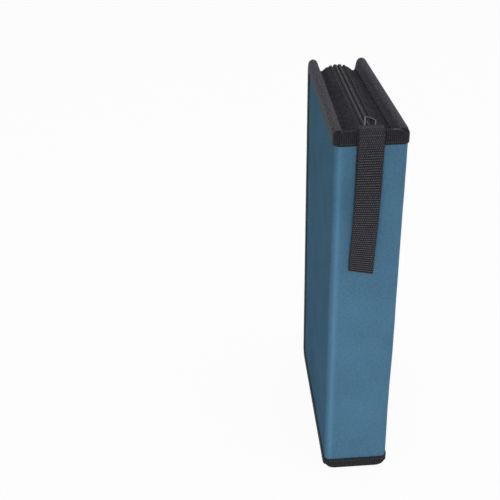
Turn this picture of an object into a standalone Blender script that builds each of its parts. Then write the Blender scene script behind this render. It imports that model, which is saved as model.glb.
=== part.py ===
"""Zip-around wallet for discs, standing on its bottom edge with the spine towards -Y.

All sizes are in metres, +Z is up. X runs across the spine, Y from the spine to the fore-edge.
The origin is under the middle of the whole case, on the surface that it stands on.
"""

import math

import bmesh
import bpy
from mathutils import Matrix, Vector

# Overall size, over the fabric and without the binding's own thickness on the faces
HEIGHT = 0.295
DEPTH = 0.158
SPINE_WIDTH = 0.050
TOE_IN = math.radians(1.2)
FOLD_RADIUS = 0.0045
FORE_CORNER_RADIUS = 0.012
SPINE_CORNER_DROP = 0.003
SPINE_CORNER_RUN = 0.008

# Layers of a cover, from the outside in
SHELL_THICKNESS = 0.0007
BOARD_THICKNESS = 0.0022
LINING_THICKNESS = 0.0005
GUSSET_THICKNESS = 0.0007
LAYER_GAP = 0.0003
FOLD_CLEARANCE = 0.0003

# Ribbed binding folded over the edges
BINDING_THICKNESS = 0.0006
BINDING_EDGE_RADIUS = 0.0024
BINDING_OUTER_LEG = 0.010
BINDING_INNER_LEG = 0.008
HEM_FLARE = 0.0018

# Gusset: insets from the outline, room beyond the inner hem and distances from the zip's middle
VALLEY_INSET = 0.0095
VALLEY_ROOM = 0.0030
CREST_SHOULDER = 0.0080
GUSSET_HEM = 0.0052

# Zip
ZIP_INSET = 0.0065
TAPE_THICKNESS = 0.0006
TAPE_HALF_WIDTH = 0.0074
ZIP_HALF_GAP = 0.0006
COIL_WIDTH = 0.0022
COIL_HEIGHT = 0.0013

# Slider and puller
SLIDER_LENGTH = 0.0105
SLIDER_HALF_WIDTH = 0.0042
SLIDER_PLATE = 0.0009
SLIDER_LIP = 0.0010
SLIDER_POST_HALF = 0.0003
SLIDER_POST_LENGTH = 0.0024
SLIDER_CORNER = 0.0016
SLIDER_END_GAP = 0.0004
CROWN_WIRE_RADIUS = 0.0006
CROWN_SPAN_RADIUS = 0.0019
CROWN_SETBACK = 0.0015
PULLER_LENGTH = 0.0240
PULLER_WIDTH = 0.0090
PULLER_WIRE_RADIUS = 0.00065
PULLER_CORNER = 0.0026

# Wrist strap, one webbing folded double
STRAP_WIDTH = 0.017
STRAP_THICKNESS = 0.0013
STRAP_LAYER_GAP = 0.0004
STRAP_END_REACH = 0.0049
STRAP_DROP = 0.105
STRAP_BOW = 0.0028
STRAP_LEAN = 0.032
RIB_PITCH = 0.0024
RIB_HEIGHT = 0.0003
PLAIN_END = 0.0050

# Sleeves, bound together at the spine
LEAF_COUNT = 20
LEAF_THICKNESS = 0.0008
LEAF_END_ROOM = 0.0065
LEAF_FORE_ROOM = 0.0109
LEAF_CORNER_RADIUS = 0.012
LEAF_SIDE_ROOM = 0.0010
LEAF_FAR_ROOM = 0.0017
BOUND_DEPTH = 0.0048
STRIP_THICKNESS = 0.0012
STRIP_FLANGE = 0.0055

ARC_STEPS = 6
FOLD_STEPS = 5
HEM_STEPS = 3

# Each layer's depth under the outer face of a cover or of the spine
BOARD_AT = SHELL_THICKNESS + LAYER_GAP
LINING_AT = BOARD_AT + BOARD_THICKNESS + LAYER_GAP
LINING_END = LINING_AT + LINING_THICKNESS
GUSSET_AT = LINING_END + LAYER_GAP
GUSSET_END = GUSSET_AT + GUSSET_THICKNESS
PANEL_INSET = BINDING_EDGE_RADIUS + LAYER_GAP
BINDING_PROUD = LAYER_GAP + BINDING_THICKNESS

# The covers turn about the middle of the folded fabric
HINGE_INSET = FOLD_RADIUS * (1 - math.pi / 4)
HINGE_Y = HINGE_INSET
FOLD_HALF_ARC = FOLD_RADIUS * math.pi / 4
COVER_START = (
    HINGE_Y
    + math.hypot(HINGE_INSET + BINDING_PROUD, FOLD_RADIUS - HINGE_Y)
    + FOLD_CLEARANCE
)

# Heights above the tape's middle
COIL_AT = TAPE_THICKNESS / 2 + LAYER_GAP
TOP_PLATE_AT = COIL_AT + COIL_HEIGHT + LAYER_GAP
TOP_PLATE_END = TOP_PLATE_AT + SLIDER_PLATE
PULLER_AXIS_AT = TOP_PLATE_END + LAYER_GAP + PULLER_WIRE_RADIUS
SLIDER_START = LINING_END + LAYER_GAP + BINDING_THICKNESS + SLIDER_END_GAP
COIL_START = SLIDER_START + SLIDER_LENGTH + SLIDER_END_GAP

# Outline of the strap where it bends over the top band
STRAP_BEND_Y = BINDING_EDGE_RADIUS - BINDING_PROUD
STRAP_BEND_Z = HEIGHT - BINDING_EDGE_RADIUS
STRAP_HALF_STACK = STRAP_THICKNESS + STRAP_LAYER_GAP / 2
STRAP_MID_RADIUS = BINDING_EDGE_RADIUS + LAYER_GAP + STRAP_HALF_STACK

# Sleeves between strip and fore-edge
STRIP_AT = LINING_END + LAYER_GAP
BLOCK_START = STRIP_AT + STRIP_THICKNESS + LAYER_GAP
BLOCK_HALF_WIDTH = SPINE_WIDTH / 2 - LINING_END - LEAF_SIDE_ROOM - STRIP_THICKNESS


def clear_scene():
    for obj in list(bpy.data.objects):
        bpy.data.objects.remove(obj, do_unlink=True)


def make_material(name, colour, roughness, metallic=0.0):
    mat = bpy.data.materials.new(name)
    mat.use_nodes = True
    shader = mat.node_tree.nodes["Principled BSDF"]
    shader.inputs["Base Color"].default_value = (*colour, 1.0)
    shader.inputs["Roughness"].default_value = roughness
    shader.inputs["Metallic"].default_value = metallic
    mat.diffuse_color = (*colour, 1.0)
    return mat


def add_collection(name):
    collection = bpy.data.collections.new(name)
    bpy.context.scene.collection.children.link(collection)
    return collection


def add_empty(name, parent, location, turn=0.0):
    empty = bpy.data.objects.new(name, None)
    empty.empty_display_size = 0.01
    empty.location = location
    empty.rotation_euler = (0.0, 0.0, turn)
    empty.parent = parent
    case.objects.link(empty)
    return empty


def add_object(name, data, mat, parent, location=(0, 0, 0), rotation=(0, 0, 0)):
    obj = bpy.data.objects.new(name, data)
    data.materials.append(mat)
    obj.location = location
    obj.rotation_euler = rotation
    obj.parent = parent
    case.objects.link(obj)
    return obj


def arc(centre_u, centre_v, radius, start, end, steps):
    """Points on a circular arc from one angle to another, in degrees."""
    points = []
    for i in range(steps + 1):
        angle = math.radians(start + (end - start) * i / steps)
        points.append((centre_u + radius * math.cos(angle), centre_v + radius * math.sin(angle)))
    return points


def loft(rows):
    """A mesh surface through rows of points, each row a section."""
    bm = bmesh.new()
    grid = [[bm.verts.new(point) for point in row] for row in rows]
    for near, far in zip(grid, grid[1:]):
        for i in range(len(near) - 1):
            bm.faces.new((near[i], near[i + 1], far[i + 1], far[i]))
    mesh = bpy.data.meshes.new("loft")
    bm.to_mesh(mesh)
    bm.free()
    return mesh


def fabric(name, rows, thickness, mat, parent):
    """A cloth whose middle surface runs through the rows of points."""
    mesh = loft(rows)
    mesh.name = name
    obj = add_object(name, mesh, mat, parent)
    solid = obj.modifiers.new("Thickness", "SOLIDIFY")
    solid.thickness = thickness
    solid.offset = 0.0
    solid.use_even_offset = True
    solid.use_quality_normals = True
    mesh.shade_smooth()
    mesh.set_sharp_from_angle(angle=math.radians(50))
    return obj


def plate(name, outline, thickness, mat, parent, location=(0, 0, 0), rotation=(0, 0, 0)):
    """A flat outline with square edges, thickened evenly to both sides of its plane."""
    curve = bpy.data.curves.new(name, "CURVE")
    curve.dimensions = "2D"
    curve.fill_mode = "BOTH"
    curve.extrude = thickness / 2
    spline = curve.splines.new("POLY")
    spline.points.add(len(outline) - 1)
    for point, (u, v) in zip(spline.points, outline):
        point.co = (u, v, 0.0, 1.0)
    spline.use_cyclic_u = True
    return add_object(name, curve, mat, parent, location, rotation)


def box(name, low, high, mat, parent):
    mesh = bpy.data.meshes.new(name)
    bm = bmesh.new()
    size = [b - a for a, b in zip(low, high)]
    middle = [(a + b) / 2 for a, b in zip(low, high)]
    bmesh.ops.create_cube(bm, size=1.0, matrix=Matrix.Translation(middle) @ Matrix.Diagonal((*size, 1.0)))
    bm.to_mesh(mesh)
    bm.free()
    return add_object(name, mesh, mat, parent)


def wire(name, points, radius, mat, parent, closed, location=(0, 0, 0)):
    """A round wire through the points."""
    curve = bpy.data.curves.new(name, "CURVE")
    curve.dimensions = "3D"
    curve.bevel_depth = radius
    curve.bevel_resolution = 2
    curve.use_fill_caps = not closed
    spline = curve.splines.new("POLY")
    spline.points.add(len(points) - 1)
    for point, co in zip(spline.points, points):
        point.co = (*co, 1.0)
    spline.use_cyclic_u = closed
    spline.use_smooth = True
    return add_object(name, curve, mat, parent, location)


def as_mesh(obj):
    """The same object with its curve made into a welded mesh."""
    bpy.context.view_layer.update()
    graph = bpy.context.evaluated_depsgraph_get()
    mesh = bpy.data.meshes.new_from_object(obj.evaluated_get(graph))
    bm = bmesh.new()
    bm.from_mesh(mesh)
    bmesh.ops.remove_doubles(bm, verts=bm.verts, dist=1e-6)
    bmesh.ops.recalc_face_normals(bm, faces=bm.faces)
    bm.to_mesh(mesh)
    bm.free()
    name = obj.name
    made = bpy.data.objects.new(name + "_mesh", mesh)
    made.parent = obj.parent
    made.location = obj.location
    made.rotation_euler = obj.rotation_euler
    case.objects.link(made)
    bpy.data.objects.remove(obj, do_unlink=True)
    made.name = name
    return made


def as_cutter(obj):
    case.objects.unlink(obj)
    cutters.objects.link(obj)
    obj.hide_render = True
    obj.display_type = "WIRE"
    return obj


def combine(obj, other, operation):
    step = obj.modifiers.new(operation.title(), "BOOLEAN")
    step.operation = operation
    step.object = as_cutter(other)


def corner_drop(distance):
    """How far the top edge comes down at a distance along the outline from the middle of the fold."""
    if distance >= SPINE_CORNER_RUN:
        return 0.0
    return SPINE_CORNER_DROP * (1 - distance / SPINE_CORNER_RUN) ** 2


def three_sides(start, dropped=False):
    """Stations round top, fore-edge and bottom: a point (y, z) on the outline and the way in."""
    near = [start]
    past_fold = FOLD_HALF_ARC - FOLD_RADIUS
    run_end = SPINE_CORNER_RUN - past_fold
    if dropped and start < run_end:
        near = [start, (start + run_end) / 2, run_end]
    centre_y = DEPTH - FORE_CORNER_RADIUS
    top = []
    for y in near:
        drop = corner_drop(y + past_fold) if dropped else 0.0
        top.append((y, HEIGHT - drop, 0.0, -1.0))
    for y, z in arc(centre_y, HEIGHT - FORE_CORNER_RADIUS, FORE_CORNER_RADIUS, 90, 0, ARC_STEPS):
        in_y = (centre_y - y) / FORE_CORNER_RADIUS
        in_z = (HEIGHT - FORE_CORNER_RADIUS - z) / FORE_CORNER_RADIUS
        top.append((y, z, in_y, in_z))
    bottom = [(y, HEIGHT - z, in_y, -in_z) for y, z, in_y, in_z in reversed(top)]
    return top + bottom


def panel_outline(inset):
    """Flat outline (y, z) of a cover's layer, square at the spine and rounded at the fore-edge."""
    return [(y + inset * in_y - HINGE_Y, z + inset * in_z) for y, z, in_y, in_z in three_sides(COVER_START)]


def hem_flare(inset):
    """How far the gusset and the inner hem on it stand off the cover, from the edge down to the hem's end."""
    return HEM_FLARE * max(0.0, inset - BINDING_EDGE_RADIUS) / (BINDING_INNER_LEG - BINDING_EDGE_RADIUS)


def hem_section(outer, inner, flare=0.0):
    """Binding folded over an edge: (depth, inset) pairs of its middle, from the outer to the inner hem."""
    top = BINDING_THICKNESS / 2
    radius = min(BINDING_EDGE_RADIUS - top, (inner - outer) / 2 - LAYER_GAP / 4)
    points = [(outer, BINDING_OUTER_LEG)]
    points += [(u, top + radius - v) for u, v in arc(outer + radius, 0.0, radius, 180, 90, HEM_STEPS)]
    points += [(u, top + radius - v) for u, v in arc(inner - radius, 0.0, radius, 90, 0, HEM_STEPS)]
    points.append((inner + flare, BINDING_INNER_LEG))
    return points


def spine_plan():
    """Stations along the spine's outer face, seen from above: (x, y), the way in, and how far round the fold."""
    centre_x = SPINE_WIDTH / 2 - FOLD_RADIUS
    right = []
    for i, (x, y) in enumerate(arc(centre_x, FOLD_RADIUS, FOLD_RADIUS, -90, 0, FOLD_STEPS)):
        in_x = (centre_x - x) / FOLD_RADIUS
        in_y = (FOLD_RADIUS - y) / FOLD_RADIUS
        right.append((x, y, in_x, in_y, i / FOLD_STEPS))
    flat_end = centre_x - (SPINE_CORNER_RUN - FOLD_HALF_ARC)
    if flat_end < centre_x:
        middle = (flat_end + centre_x) / 2
        right = [(flat_end, 0.0, 0.0, 1.0, 0.0), (middle, 0.0, 0.0, 1.0, 0.0)] + right
    left = [(-x, y, -in_x, in_y, turn) for x, y, in_x, in_y, turn in reversed(right)]
    return left + right


def spine_drop(x, turn):
    if turn > 0:
        return corner_drop(abs(2 * turn - 1) * FOLD_HALF_ARC)
    return corner_drop(FOLD_HALF_ARC + SPINE_WIDTH / 2 - FOLD_RADIUS - abs(x))


def build_spine():
    plan = spine_plan()
    middle = SHELL_THICKNESS / 2
    rows = []
    for end in (0, 1):
        row = []
        for x, y, in_x, in_y, turn in plan:
            edge = PANEL_INSET + spine_drop(x, turn)
            z = HEIGHT - edge if end else edge
            row.append((x + middle * in_x, y + middle * in_y, z))
        rows.append(row)
    fabric("spine_shell", rows, SHELL_THICKNESS, shell_fabric, root)

    half = SPINE_WIDTH / 2 - FOLD_RADIUS - LAYER_GAP
    low, high = PANEL_INSET, HEIGHT - PANEL_INSET
    box("spine_board", (-half, BOARD_AT, low), (half, LINING_AT - LAYER_GAP, high), board, root)
    box("spine_lining", (-half, LINING_AT, low), (half, LINING_END, high), lining, root)

    outer = -LAYER_GAP - BINDING_THICKNESS / 2
    full = LINING_END + LAYER_GAP + BINDING_THICKNESS / 2
    pinched = SHELL_THICKNESS + LAYER_GAP + BINDING_THICKNESS / 2
    for name, top in (("spine_binding_top", True), ("spine_binding_bottom", False)):
        rows = []
        for x, y, in_x, in_y, turn in plan:
            blend = max(0.0, 1 - 2 * turn)
            inner = pinched + (full - pinched) * blend * blend
            row = []
            for depth, inset in hem_section(outer, inner):
                edge = inset if inset > BINDING_EDGE_RADIUS * 1.5 else inset + spine_drop(x, turn)
                z = HEIGHT - edge if top else edge
                row.append((x + depth * in_x, y + depth * in_y, z))
            rows.append(row)
        fabric(name, rows, BINDING_THICKNESS, binding, root)


def build_cover(name, side):
    """One cover with its half of the gusset and zip; side is 1 on the right and -1 on the left."""
    pivot = (side * (SPINE_WIDTH / 2 - HINGE_INSET), HINGE_Y, 0.0)
    hinge = add_empty(name + "_hinge", root, pivot, side * TOE_IN)
    to_hinge = Matrix.Translation(pivot) @ Matrix.Rotation(side * TOE_IN, 4, "Z")
    to_hinge.invert()

    def on_cover(depth, y, z):
        return (side * (HINGE_INSET - depth), y - HINGE_Y, z)

    def on_zip(x, y, z):
        return tuple(to_hinge @ Vector((side * x, y, z)))

    layers = (
        ("_shell", 0.0, SHELL_THICKNESS, shell_fabric),
        ("_board", BOARD_AT, BOARD_THICKNESS, board),
        ("_lining", LINING_AT, LINING_THICKNESS, lining),
    )
    upright = (math.pi / 2, 0.0, math.pi / 2)
    for suffix, depth, thickness, mat in layers:
        place = (side * (HINGE_INSET - depth - thickness / 2), 0.0, 0.0)
        plate(name + suffix, panel_outline(PANEL_INSET), thickness, mat, hinge, place, upright)

    outer = -LAYER_GAP - BINDING_THICKNESS / 2
    inner = GUSSET_END + LAYER_GAP + BINDING_THICKNESS / 2
    rows = []
    for y, z, in_y, in_z in three_sides(COVER_START, dropped=True):
        hem = hem_section(outer, inner, HEM_FLARE)
        rows.append([on_cover(depth, y + inset * in_y, z + inset * in_z) for depth, inset in hem])
    fabric(name.replace("_cover", "") + "_binding", rows, BINDING_THICKNESS, binding, hinge)

    # The gusset leaves the cover under the binding, dips into a valley and rises on to the tape
    margin = GUSSET_AT + GUSSET_THICKNESS / 2
    hem_inset = ZIP_INSET - TAPE_THICKNESS / 2 - LAYER_GAP - GUSSET_THICKNESS / 2
    rise = VALLEY_INSET - hem_inset
    rows = []
    for y, z, in_y, in_z in three_sides(COVER_START + LAYER_GAP):
        row = []
        for off, inset in (
            (0.0, PANEL_INSET),
            (0.0, BINDING_INNER_LEG + LAYER_GAP),
            (GUSSET_THICKNESS, (BINDING_INNER_LEG + VALLEY_INSET) / 2 + LAYER_GAP),
        ):
            depth = margin + off + hem_flare(min(inset - LAYER_GAP, BINDING_INNER_LEG))
            row.append(on_cover(depth, y + inset * in_y, z + inset * in_z))
        # The valley keeps its distance from the cover, which leans towards the zip
        lean = (y + VALLEY_INSET * in_y - HINGE_Y) * math.tan(TOE_IN)
        valley_x = SPINE_WIDTH / 2 - lean - margin - HEM_FLARE - VALLEY_ROOM
        step = (valley_x - CREST_SHOULDER) / 3
        for x, inset in (
            (valley_x, VALLEY_INSET),
            (valley_x - step, VALLEY_INSET - 0.2 * rise),
            (CREST_SHOULDER + step, VALLEY_INSET - 0.62 * rise),
            (CREST_SHOULDER, hem_inset + 0.06 * rise),
            (GUSSET_HEM, hem_inset),
        ):
            row.append(on_zip(x, y + inset * in_y, z + inset * in_z))
        rows.append(row)
    fabric(name.replace("_cover", "") + "_gusset", rows, GUSSET_THICKNESS, gusset_fabric, hinge)

    rows = []
    for y, z, in_y, in_z in three_sides(COVER_START + LAYER_GAP):
        inset_y, inset_z = ZIP_INSET * in_y, ZIP_INSET * in_z
        rows.append([on_zip(x, y + inset_y, z + inset_z) for x in (ZIP_HALF_GAP, TAPE_HALF_WIDTH)])
    fabric(name.replace("_cover", "") + "_zip_tape", rows, TAPE_THICKNESS, tape, hinge)

    coil_inset = ZIP_INSET - COIL_AT - COIL_HEIGHT / 2
    stations = three_sides(COIL_START)
    bottom_y = COVER_START + LAYER_GAP
    stations[-1] = (bottom_y, *stations[-1][1:])
    rows = []
    for y, z, in_y, in_z in stations:
        inset_y, inset_z = coil_inset * in_y, coil_inset * in_z
        edges = (ZIP_HALF_GAP, ZIP_HALF_GAP + COIL_WIDTH)
        rows.append([on_zip(x, y + inset_y, z + inset_z) for x in edges])
    coil = fabric(name.replace("_cover", "") + "_zip_coil", rows, COIL_HEIGHT, coil_plastic, hinge)
    rounded = coil.modifiers.new("Rounded", "BEVEL")
    rounded.width = COIL_HEIGHT / 4
    rounded.segments = 1
    rounded.limit_method = "ANGLE"
    rounded.angle_limit = math.radians(60)
    return hinge


def slider_plate_outline():
    half_x, half_y, r = SLIDER_HALF_WIDTH, SLIDER_LENGTH / 2, SLIDER_CORNER
    outline = []
    for sign_x, sign_y, start in ((1, 1, 0), (-1, 1, 90), (-1, -1, 180), (1, -1, 270)):
        outline += arc(sign_x * (half_x - r), sign_y * (half_y - r), r, start, start + 90, 3)
    return outline


def build_slider():
    middle_y = SLIDER_START + SLIDER_LENGTH / 2
    zip_z = HEIGHT - ZIP_INSET
    slide = add_empty("zip_slide", root, (0.0, middle_y, zip_z))
    outline = slider_plate_outline()
    centre = TOP_PLATE_AT + SLIDER_PLATE / 2
    slider = as_mesh(plate("zip_slider", outline, SLIDER_PLATE, metal, slide, (0, 0, centre)))
    under = -TAPE_THICKNESS / 2 - LAYER_GAP - SLIDER_PLATE / 2
    bottom = as_mesh(plate("slider_bottom", outline, SLIDER_PLATE, metal, slide, (0, 0, under)))
    combine(slider, bottom, "UNION")
    half_y = SLIDER_LENGTH / 2
    bite = SLIDER_PLATE / 2
    post_end = -half_y + SLIDER_END_GAP + SLIDER_POST_LENGTH
    post = box(
        "slider_post",
        (-SLIDER_POST_HALF, -half_y + SLIDER_END_GAP, under),
        (SLIDER_POST_HALF, post_end, TOP_PLATE_AT + bite),
        metal,
        slide,
    )
    combine(slider, post, "UNION")
    lip_low = TAPE_THICKNESS / 2 + LAYER_GAP
    for sign in (1, -1):
        edges = sorted((sign * SLIDER_HALF_WIDTH, sign * (SLIDER_HALF_WIDTH - SLIDER_LIP)))
        lip = box(
            "slider_lip",
            (edges[0], -half_y + SLIDER_CORNER, lip_low),
            (edges[1], half_y - SLIDER_CORNER, TOP_PLATE_AT + bite),
            metal,
            slide,
        )
        combine(slider, lip, "UNION")
    arch = [(0.0, -CROWN_SETBACK - CROWN_SPAN_RADIUS, TOP_PLATE_AT + bite)]
    for y, z in arc(-CROWN_SETBACK, PULLER_AXIS_AT, CROWN_SPAN_RADIUS, 180, 0, 8):
        arch.append((0.0, y, z))
    arch.append((0.0, -CROWN_SETBACK + CROWN_SPAN_RADIUS, TOP_PLATE_AT + bite))
    crown = as_mesh(wire("slider_crown", arch, CROWN_WIRE_RADIUS, metal, slide, False))
    combine(slider, crown, "UNION")

    swing = add_empty("puller_swing", slide, (0.0, -CROWN_SETBACK, PULLER_AXIS_AT))
    half_x = PULLER_WIDTH / 2 - PULLER_WIRE_RADIUS
    far = PULLER_LENGTH - 2 * PULLER_WIRE_RADIUS
    loop = []
    for centre_x, centre_y, start in (
        (half_x - PULLER_CORNER, far - PULLER_CORNER, 0),
        (-half_x + PULLER_CORNER, far - PULLER_CORNER, 90),
        (-half_x + PULLER_CORNER, PULLER_CORNER, 180),
        (half_x - PULLER_CORNER, PULLER_CORNER, 270),
    ):
        loop += [(x, y, 0.0) for x, y in arc(centre_x, centre_y, PULLER_CORNER, start, start + 90, 4)]
    wire("zip_puller", loop, PULLER_WIRE_RADIUS, metal, swing, True)


def strap_middle():
    """Points (y, z) midway between the two layers, with the way out, from the sewn end to the fold."""
    stations = []
    flat_z = STRAP_BEND_Z + STRAP_MID_RADIUS
    stations.append((STRAP_END_REACH, flat_z, 0.0, 1.0))
    for y, z in arc(STRAP_BEND_Y, STRAP_BEND_Z, STRAP_MID_RADIUS, 90, 180, 6):
        out_y = (y - STRAP_BEND_Y) / STRAP_MID_RADIUS
        out_z = (z - STRAP_BEND_Z) / STRAP_MID_RADIUS
        stations.append((y, z, out_y, out_z))
    return stations


def hang_station(s, length):
    """The hanging part at distance s below the bend: a shallow bow away from the spine."""
    share = s / length
    y = STRAP_BEND_Y - STRAP_MID_RADIUS - STRAP_BOW * math.sin(math.pi * share) ** 2
    slope = STRAP_BOW * math.pi / length * math.sin(2 * math.pi * share)
    scale = math.hypot(1.0, slope)
    return (y, STRAP_BEND_Z - s, -1.0 / scale, slope / scale)


def build_strap():
    offset = (STRAP_THICKNESS + STRAP_LAYER_GAP) / 2
    far = offset + STRAP_THICKNESS / 2
    near = offset - STRAP_THICKNESS / 2
    turned = strap_middle()
    length = STRAP_DROP - BINDING_EDGE_RADIUS - far
    count = max(1, int((length - PLAIN_END) / RIB_PITCH))
    ribbed = []
    for i in range(count):
        top = PLAIN_END + i * RIB_PITCH
        for share, height in ((0.0, -RIB_HEIGHT), (0.28, 0.0), (0.78, 0.0)):
            y, z, out_y, out_z = hang_station(top + share * RIB_PITCH, length)
            reach = far + height
            ribbed.append((y + reach * out_y, z + reach * out_z))
    plain = [hang_station(length * i / 12, length) for i in range(1, 13)]

    def face(stations, reach):
        return [(y + reach * out_y, z + reach * out_z) for y, z, out_y, out_z in stations]

    end_y, end_z = plain[-1][:2]
    outline = face(turned, far)
    outline += ribbed
    outline += arc(end_y, end_z, far, 180, 360, 8)
    outline += face(list(reversed(turned + plain[:-1])), -far)
    outline += face(turned + plain[:-1], -near)
    outline += arc(end_y, end_z, near, 360, 180, 6)
    outline += face(list(reversed(turned + plain[:-1])), near)
    upright = (math.pi / 2, 0.0, math.pi / 2)
    strap = as_mesh(plate("wrist_strap", outline, STRAP_WIDTH, webbing, root, (0, 0, 0), upright))
    # The hanging part leans a little to the left: the mesh's own Z runs across the strap
    for vertex in strap.data.vertices:
        below = STRAP_BEND_Z - vertex.co.y
        if below > 0:
            vertex.co.z -= STRAP_LEAN * below
    strap.data.shade_smooth()
    strap.data.set_sharp_from_angle(angle=math.radians(40))


def build_sleeves():
    # The gusset's valley and the room beyond it set how far the leaves reach
    low = VALLEY_INSET + LEAF_END_ROOM
    high = HEIGHT - low
    far_y = DEPTH - VALLEY_INSET - LEAF_FORE_ROOM
    cover_slack = (far_y - HINGE_Y) * math.tan(TOE_IN)
    near_half = BLOCK_HALF_WIDTH - LEAF_THICKNESS / 2
    far_half = SPINE_WIDTH / 2 - cover_slack - LINING_END - LEAF_FAR_ROOM - LEAF_THICKNESS / 2
    block_end = BLOCK_START + BOUND_DEPTH
    outline = [(-BLOCK_HALF_WIDTH, BLOCK_START)]
    for i in range(LEAF_COUNT):
        share = -1 + 2 * i / (LEAF_COUNT - 1)
        near_x, far_x = share * near_half, share * far_half
        half = LEAF_THICKNESS / 2
        outline += [(near_x - half, block_end), (far_x - half, far_y)]
        outline += [(far_x + half, far_y), (near_x + half, block_end)]
    outline.append((BLOCK_HALF_WIDTH, BLOCK_START))
    # The outermost leaves run straight into the sides of the bound block
    del outline[1]
    del outline[-2]
    place = (0, 0, HEIGHT / 2)
    leaves = as_mesh(plate("sleeve_leaves", outline, high - low, sleeve_film, root, place))
    r = LEAF_CORNER_RADIUS
    past = LAYER_GAP
    shape = [(BLOCK_START - past, low - past), (BLOCK_START - past, high + past)]
    shape[0:0] = arc(far_y + past - r, low - past + r, r, 0, -90, ARC_STEPS)
    shape += arc(far_y + past - r, high + past - r, r, 90, 0, ARC_STEPS)
    upright = (math.pi / 2, 0.0, math.pi / 2)
    rounding = as_mesh(plate("leaf_corners", shape, SPINE_WIDTH, sleeve_film, root, (0, 0, 0), upright))
    combine(leaves, rounding, "INTERSECT")

    # A folded strip holds the bound edges and is sewn to the spine's lining
    middle = STRIP_THICKNESS / 2
    side_x = BLOCK_HALF_WIDTH + LAYER_GAP + middle
    back_y = STRIP_AT + middle
    front_y = STRIP_AT + STRIP_FLANGE
    r = STRIP_THICKNESS
    plan = [(-side_x, front_y)]
    plan += arc(-side_x + r, back_y + r, r, 180, 270, 3)
    plan += arc(side_x - r, back_y + r, r, 270, 360, 3)
    plan.append((side_x, front_y))
    rows = [[(x, y, z) for x, y in plan] for z in (low, high)]
    fabric("sleeve_binding_strip", rows, STRIP_THICKNESS, binding, root)


clear_scene()
case = add_collection("cd_storage_case")
cutters = add_collection("cutters")
shell_fabric = make_material("blue_nylon", (0.078, 0.181, 0.283), 0.72)
board = make_material("grey_board", (0.30, 0.28, 0.25), 0.85)
lining = make_material("black_lining", (0.017, 0.017, 0.019), 0.80)
binding = make_material("black_ribbed_binding", (0.018, 0.018, 0.020), 0.78)
gusset_fabric = make_material("black_gusset", (0.033, 0.033, 0.040), 0.75)
tape = make_material("zip_tape", (0.020, 0.020, 0.023), 0.80)
coil_plastic = make_material("zip_coil", (0.030, 0.030, 0.034), 0.40)
metal = make_material("dark_metal", (0.060, 0.060, 0.066), 0.38, 0.9)
webbing = make_material("ribbed_webbing", (0.024, 0.024, 0.027), 0.78)
sleeve_film = make_material("sleeve_film", (0.35, 0.36, 0.38), 0.45)

root = add_empty("cd_storage_case_origin", None, (0.0, 0.0, 0.0))
build_spine()
build_cover("front_cover", 1)
build_cover("back_cover", -1)
build_slider()
build_strap()
build_sleeves()

# The origin goes under the middle of the whole case
bpy.context.view_layer.update()
depsgraph = bpy.context.evaluated_depsgraph_get()
reach = []
for piece in case.objects:
    if piece.type != "EMPTY":
        solid = piece.evaluated_get(depsgraph)
        reach += [(solid.matrix_world @ vertex.co).y for vertex in solid.to_mesh().vertices]
root.location.y = -(min(reach) + max(reach)) / 2
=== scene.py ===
"""Dresses a zip-around disc wallet in cloth, binding, zip, webbing and sleeves, and sets its stage."""

import math
from types import SimpleNamespace

import bmesh
import bpy
from bpy.props import FloatProperty, FloatVectorProperty, IntProperty, PointerProperty
from mathutils import Matrix, Vector, noise


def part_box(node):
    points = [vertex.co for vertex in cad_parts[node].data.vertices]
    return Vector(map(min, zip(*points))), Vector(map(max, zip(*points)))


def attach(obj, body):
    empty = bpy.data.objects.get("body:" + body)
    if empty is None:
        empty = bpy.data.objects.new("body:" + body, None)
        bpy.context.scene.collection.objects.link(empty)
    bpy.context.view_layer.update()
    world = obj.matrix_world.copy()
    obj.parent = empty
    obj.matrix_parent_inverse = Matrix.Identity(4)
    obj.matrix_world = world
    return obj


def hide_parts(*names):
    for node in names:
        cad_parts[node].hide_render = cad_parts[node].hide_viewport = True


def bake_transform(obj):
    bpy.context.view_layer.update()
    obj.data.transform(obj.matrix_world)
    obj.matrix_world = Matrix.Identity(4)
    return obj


bl_info = {
    "name": "Disc Wallet Dressing",
    "version": (1, 0, 0),
    "blender": (4, 5, 0),
    "location": "3D View > Sidebar > Wallet",
    "description": "Makes the cloth, binding, zip, strap and sleeves of a zip-around disc wallet",
    "category": "Object",
}

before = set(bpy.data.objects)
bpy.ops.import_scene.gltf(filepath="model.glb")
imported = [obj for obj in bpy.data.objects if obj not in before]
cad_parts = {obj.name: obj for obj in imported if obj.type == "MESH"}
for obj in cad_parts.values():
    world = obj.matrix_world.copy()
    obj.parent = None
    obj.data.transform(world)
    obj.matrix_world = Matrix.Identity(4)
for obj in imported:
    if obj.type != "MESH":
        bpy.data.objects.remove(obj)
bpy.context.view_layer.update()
# The outer face of the spine stands at this Y
SPINE_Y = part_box("spine_shell")[0].y
SIDES = (("front", 1), ("back", -1))
# The scale at which a band of the wave texture is one unit wide
ONE_BAND = math.pi / 10


def from_hex(code):
    """An sRGB hex colour as linear values."""
    parts = [int(code[i : i + 2], 16) / 255 for i in (1, 3, 5)]
    return tuple(p / 12.92 if p <= 0.04045 else ((p + 0.055) / 1.055) ** 2.4 for p in parts)


def length(name, description, default):
    return FloatProperty(name=name, description=description, default=default, min=0.0, unit="LENGTH", precision=5)


def colour(name, description, code):
    return FloatVectorProperty(
        name=name, description=description, default=from_hex(code), size=3, subtype="COLOR", min=0.0, max=1.0
    )


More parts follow.
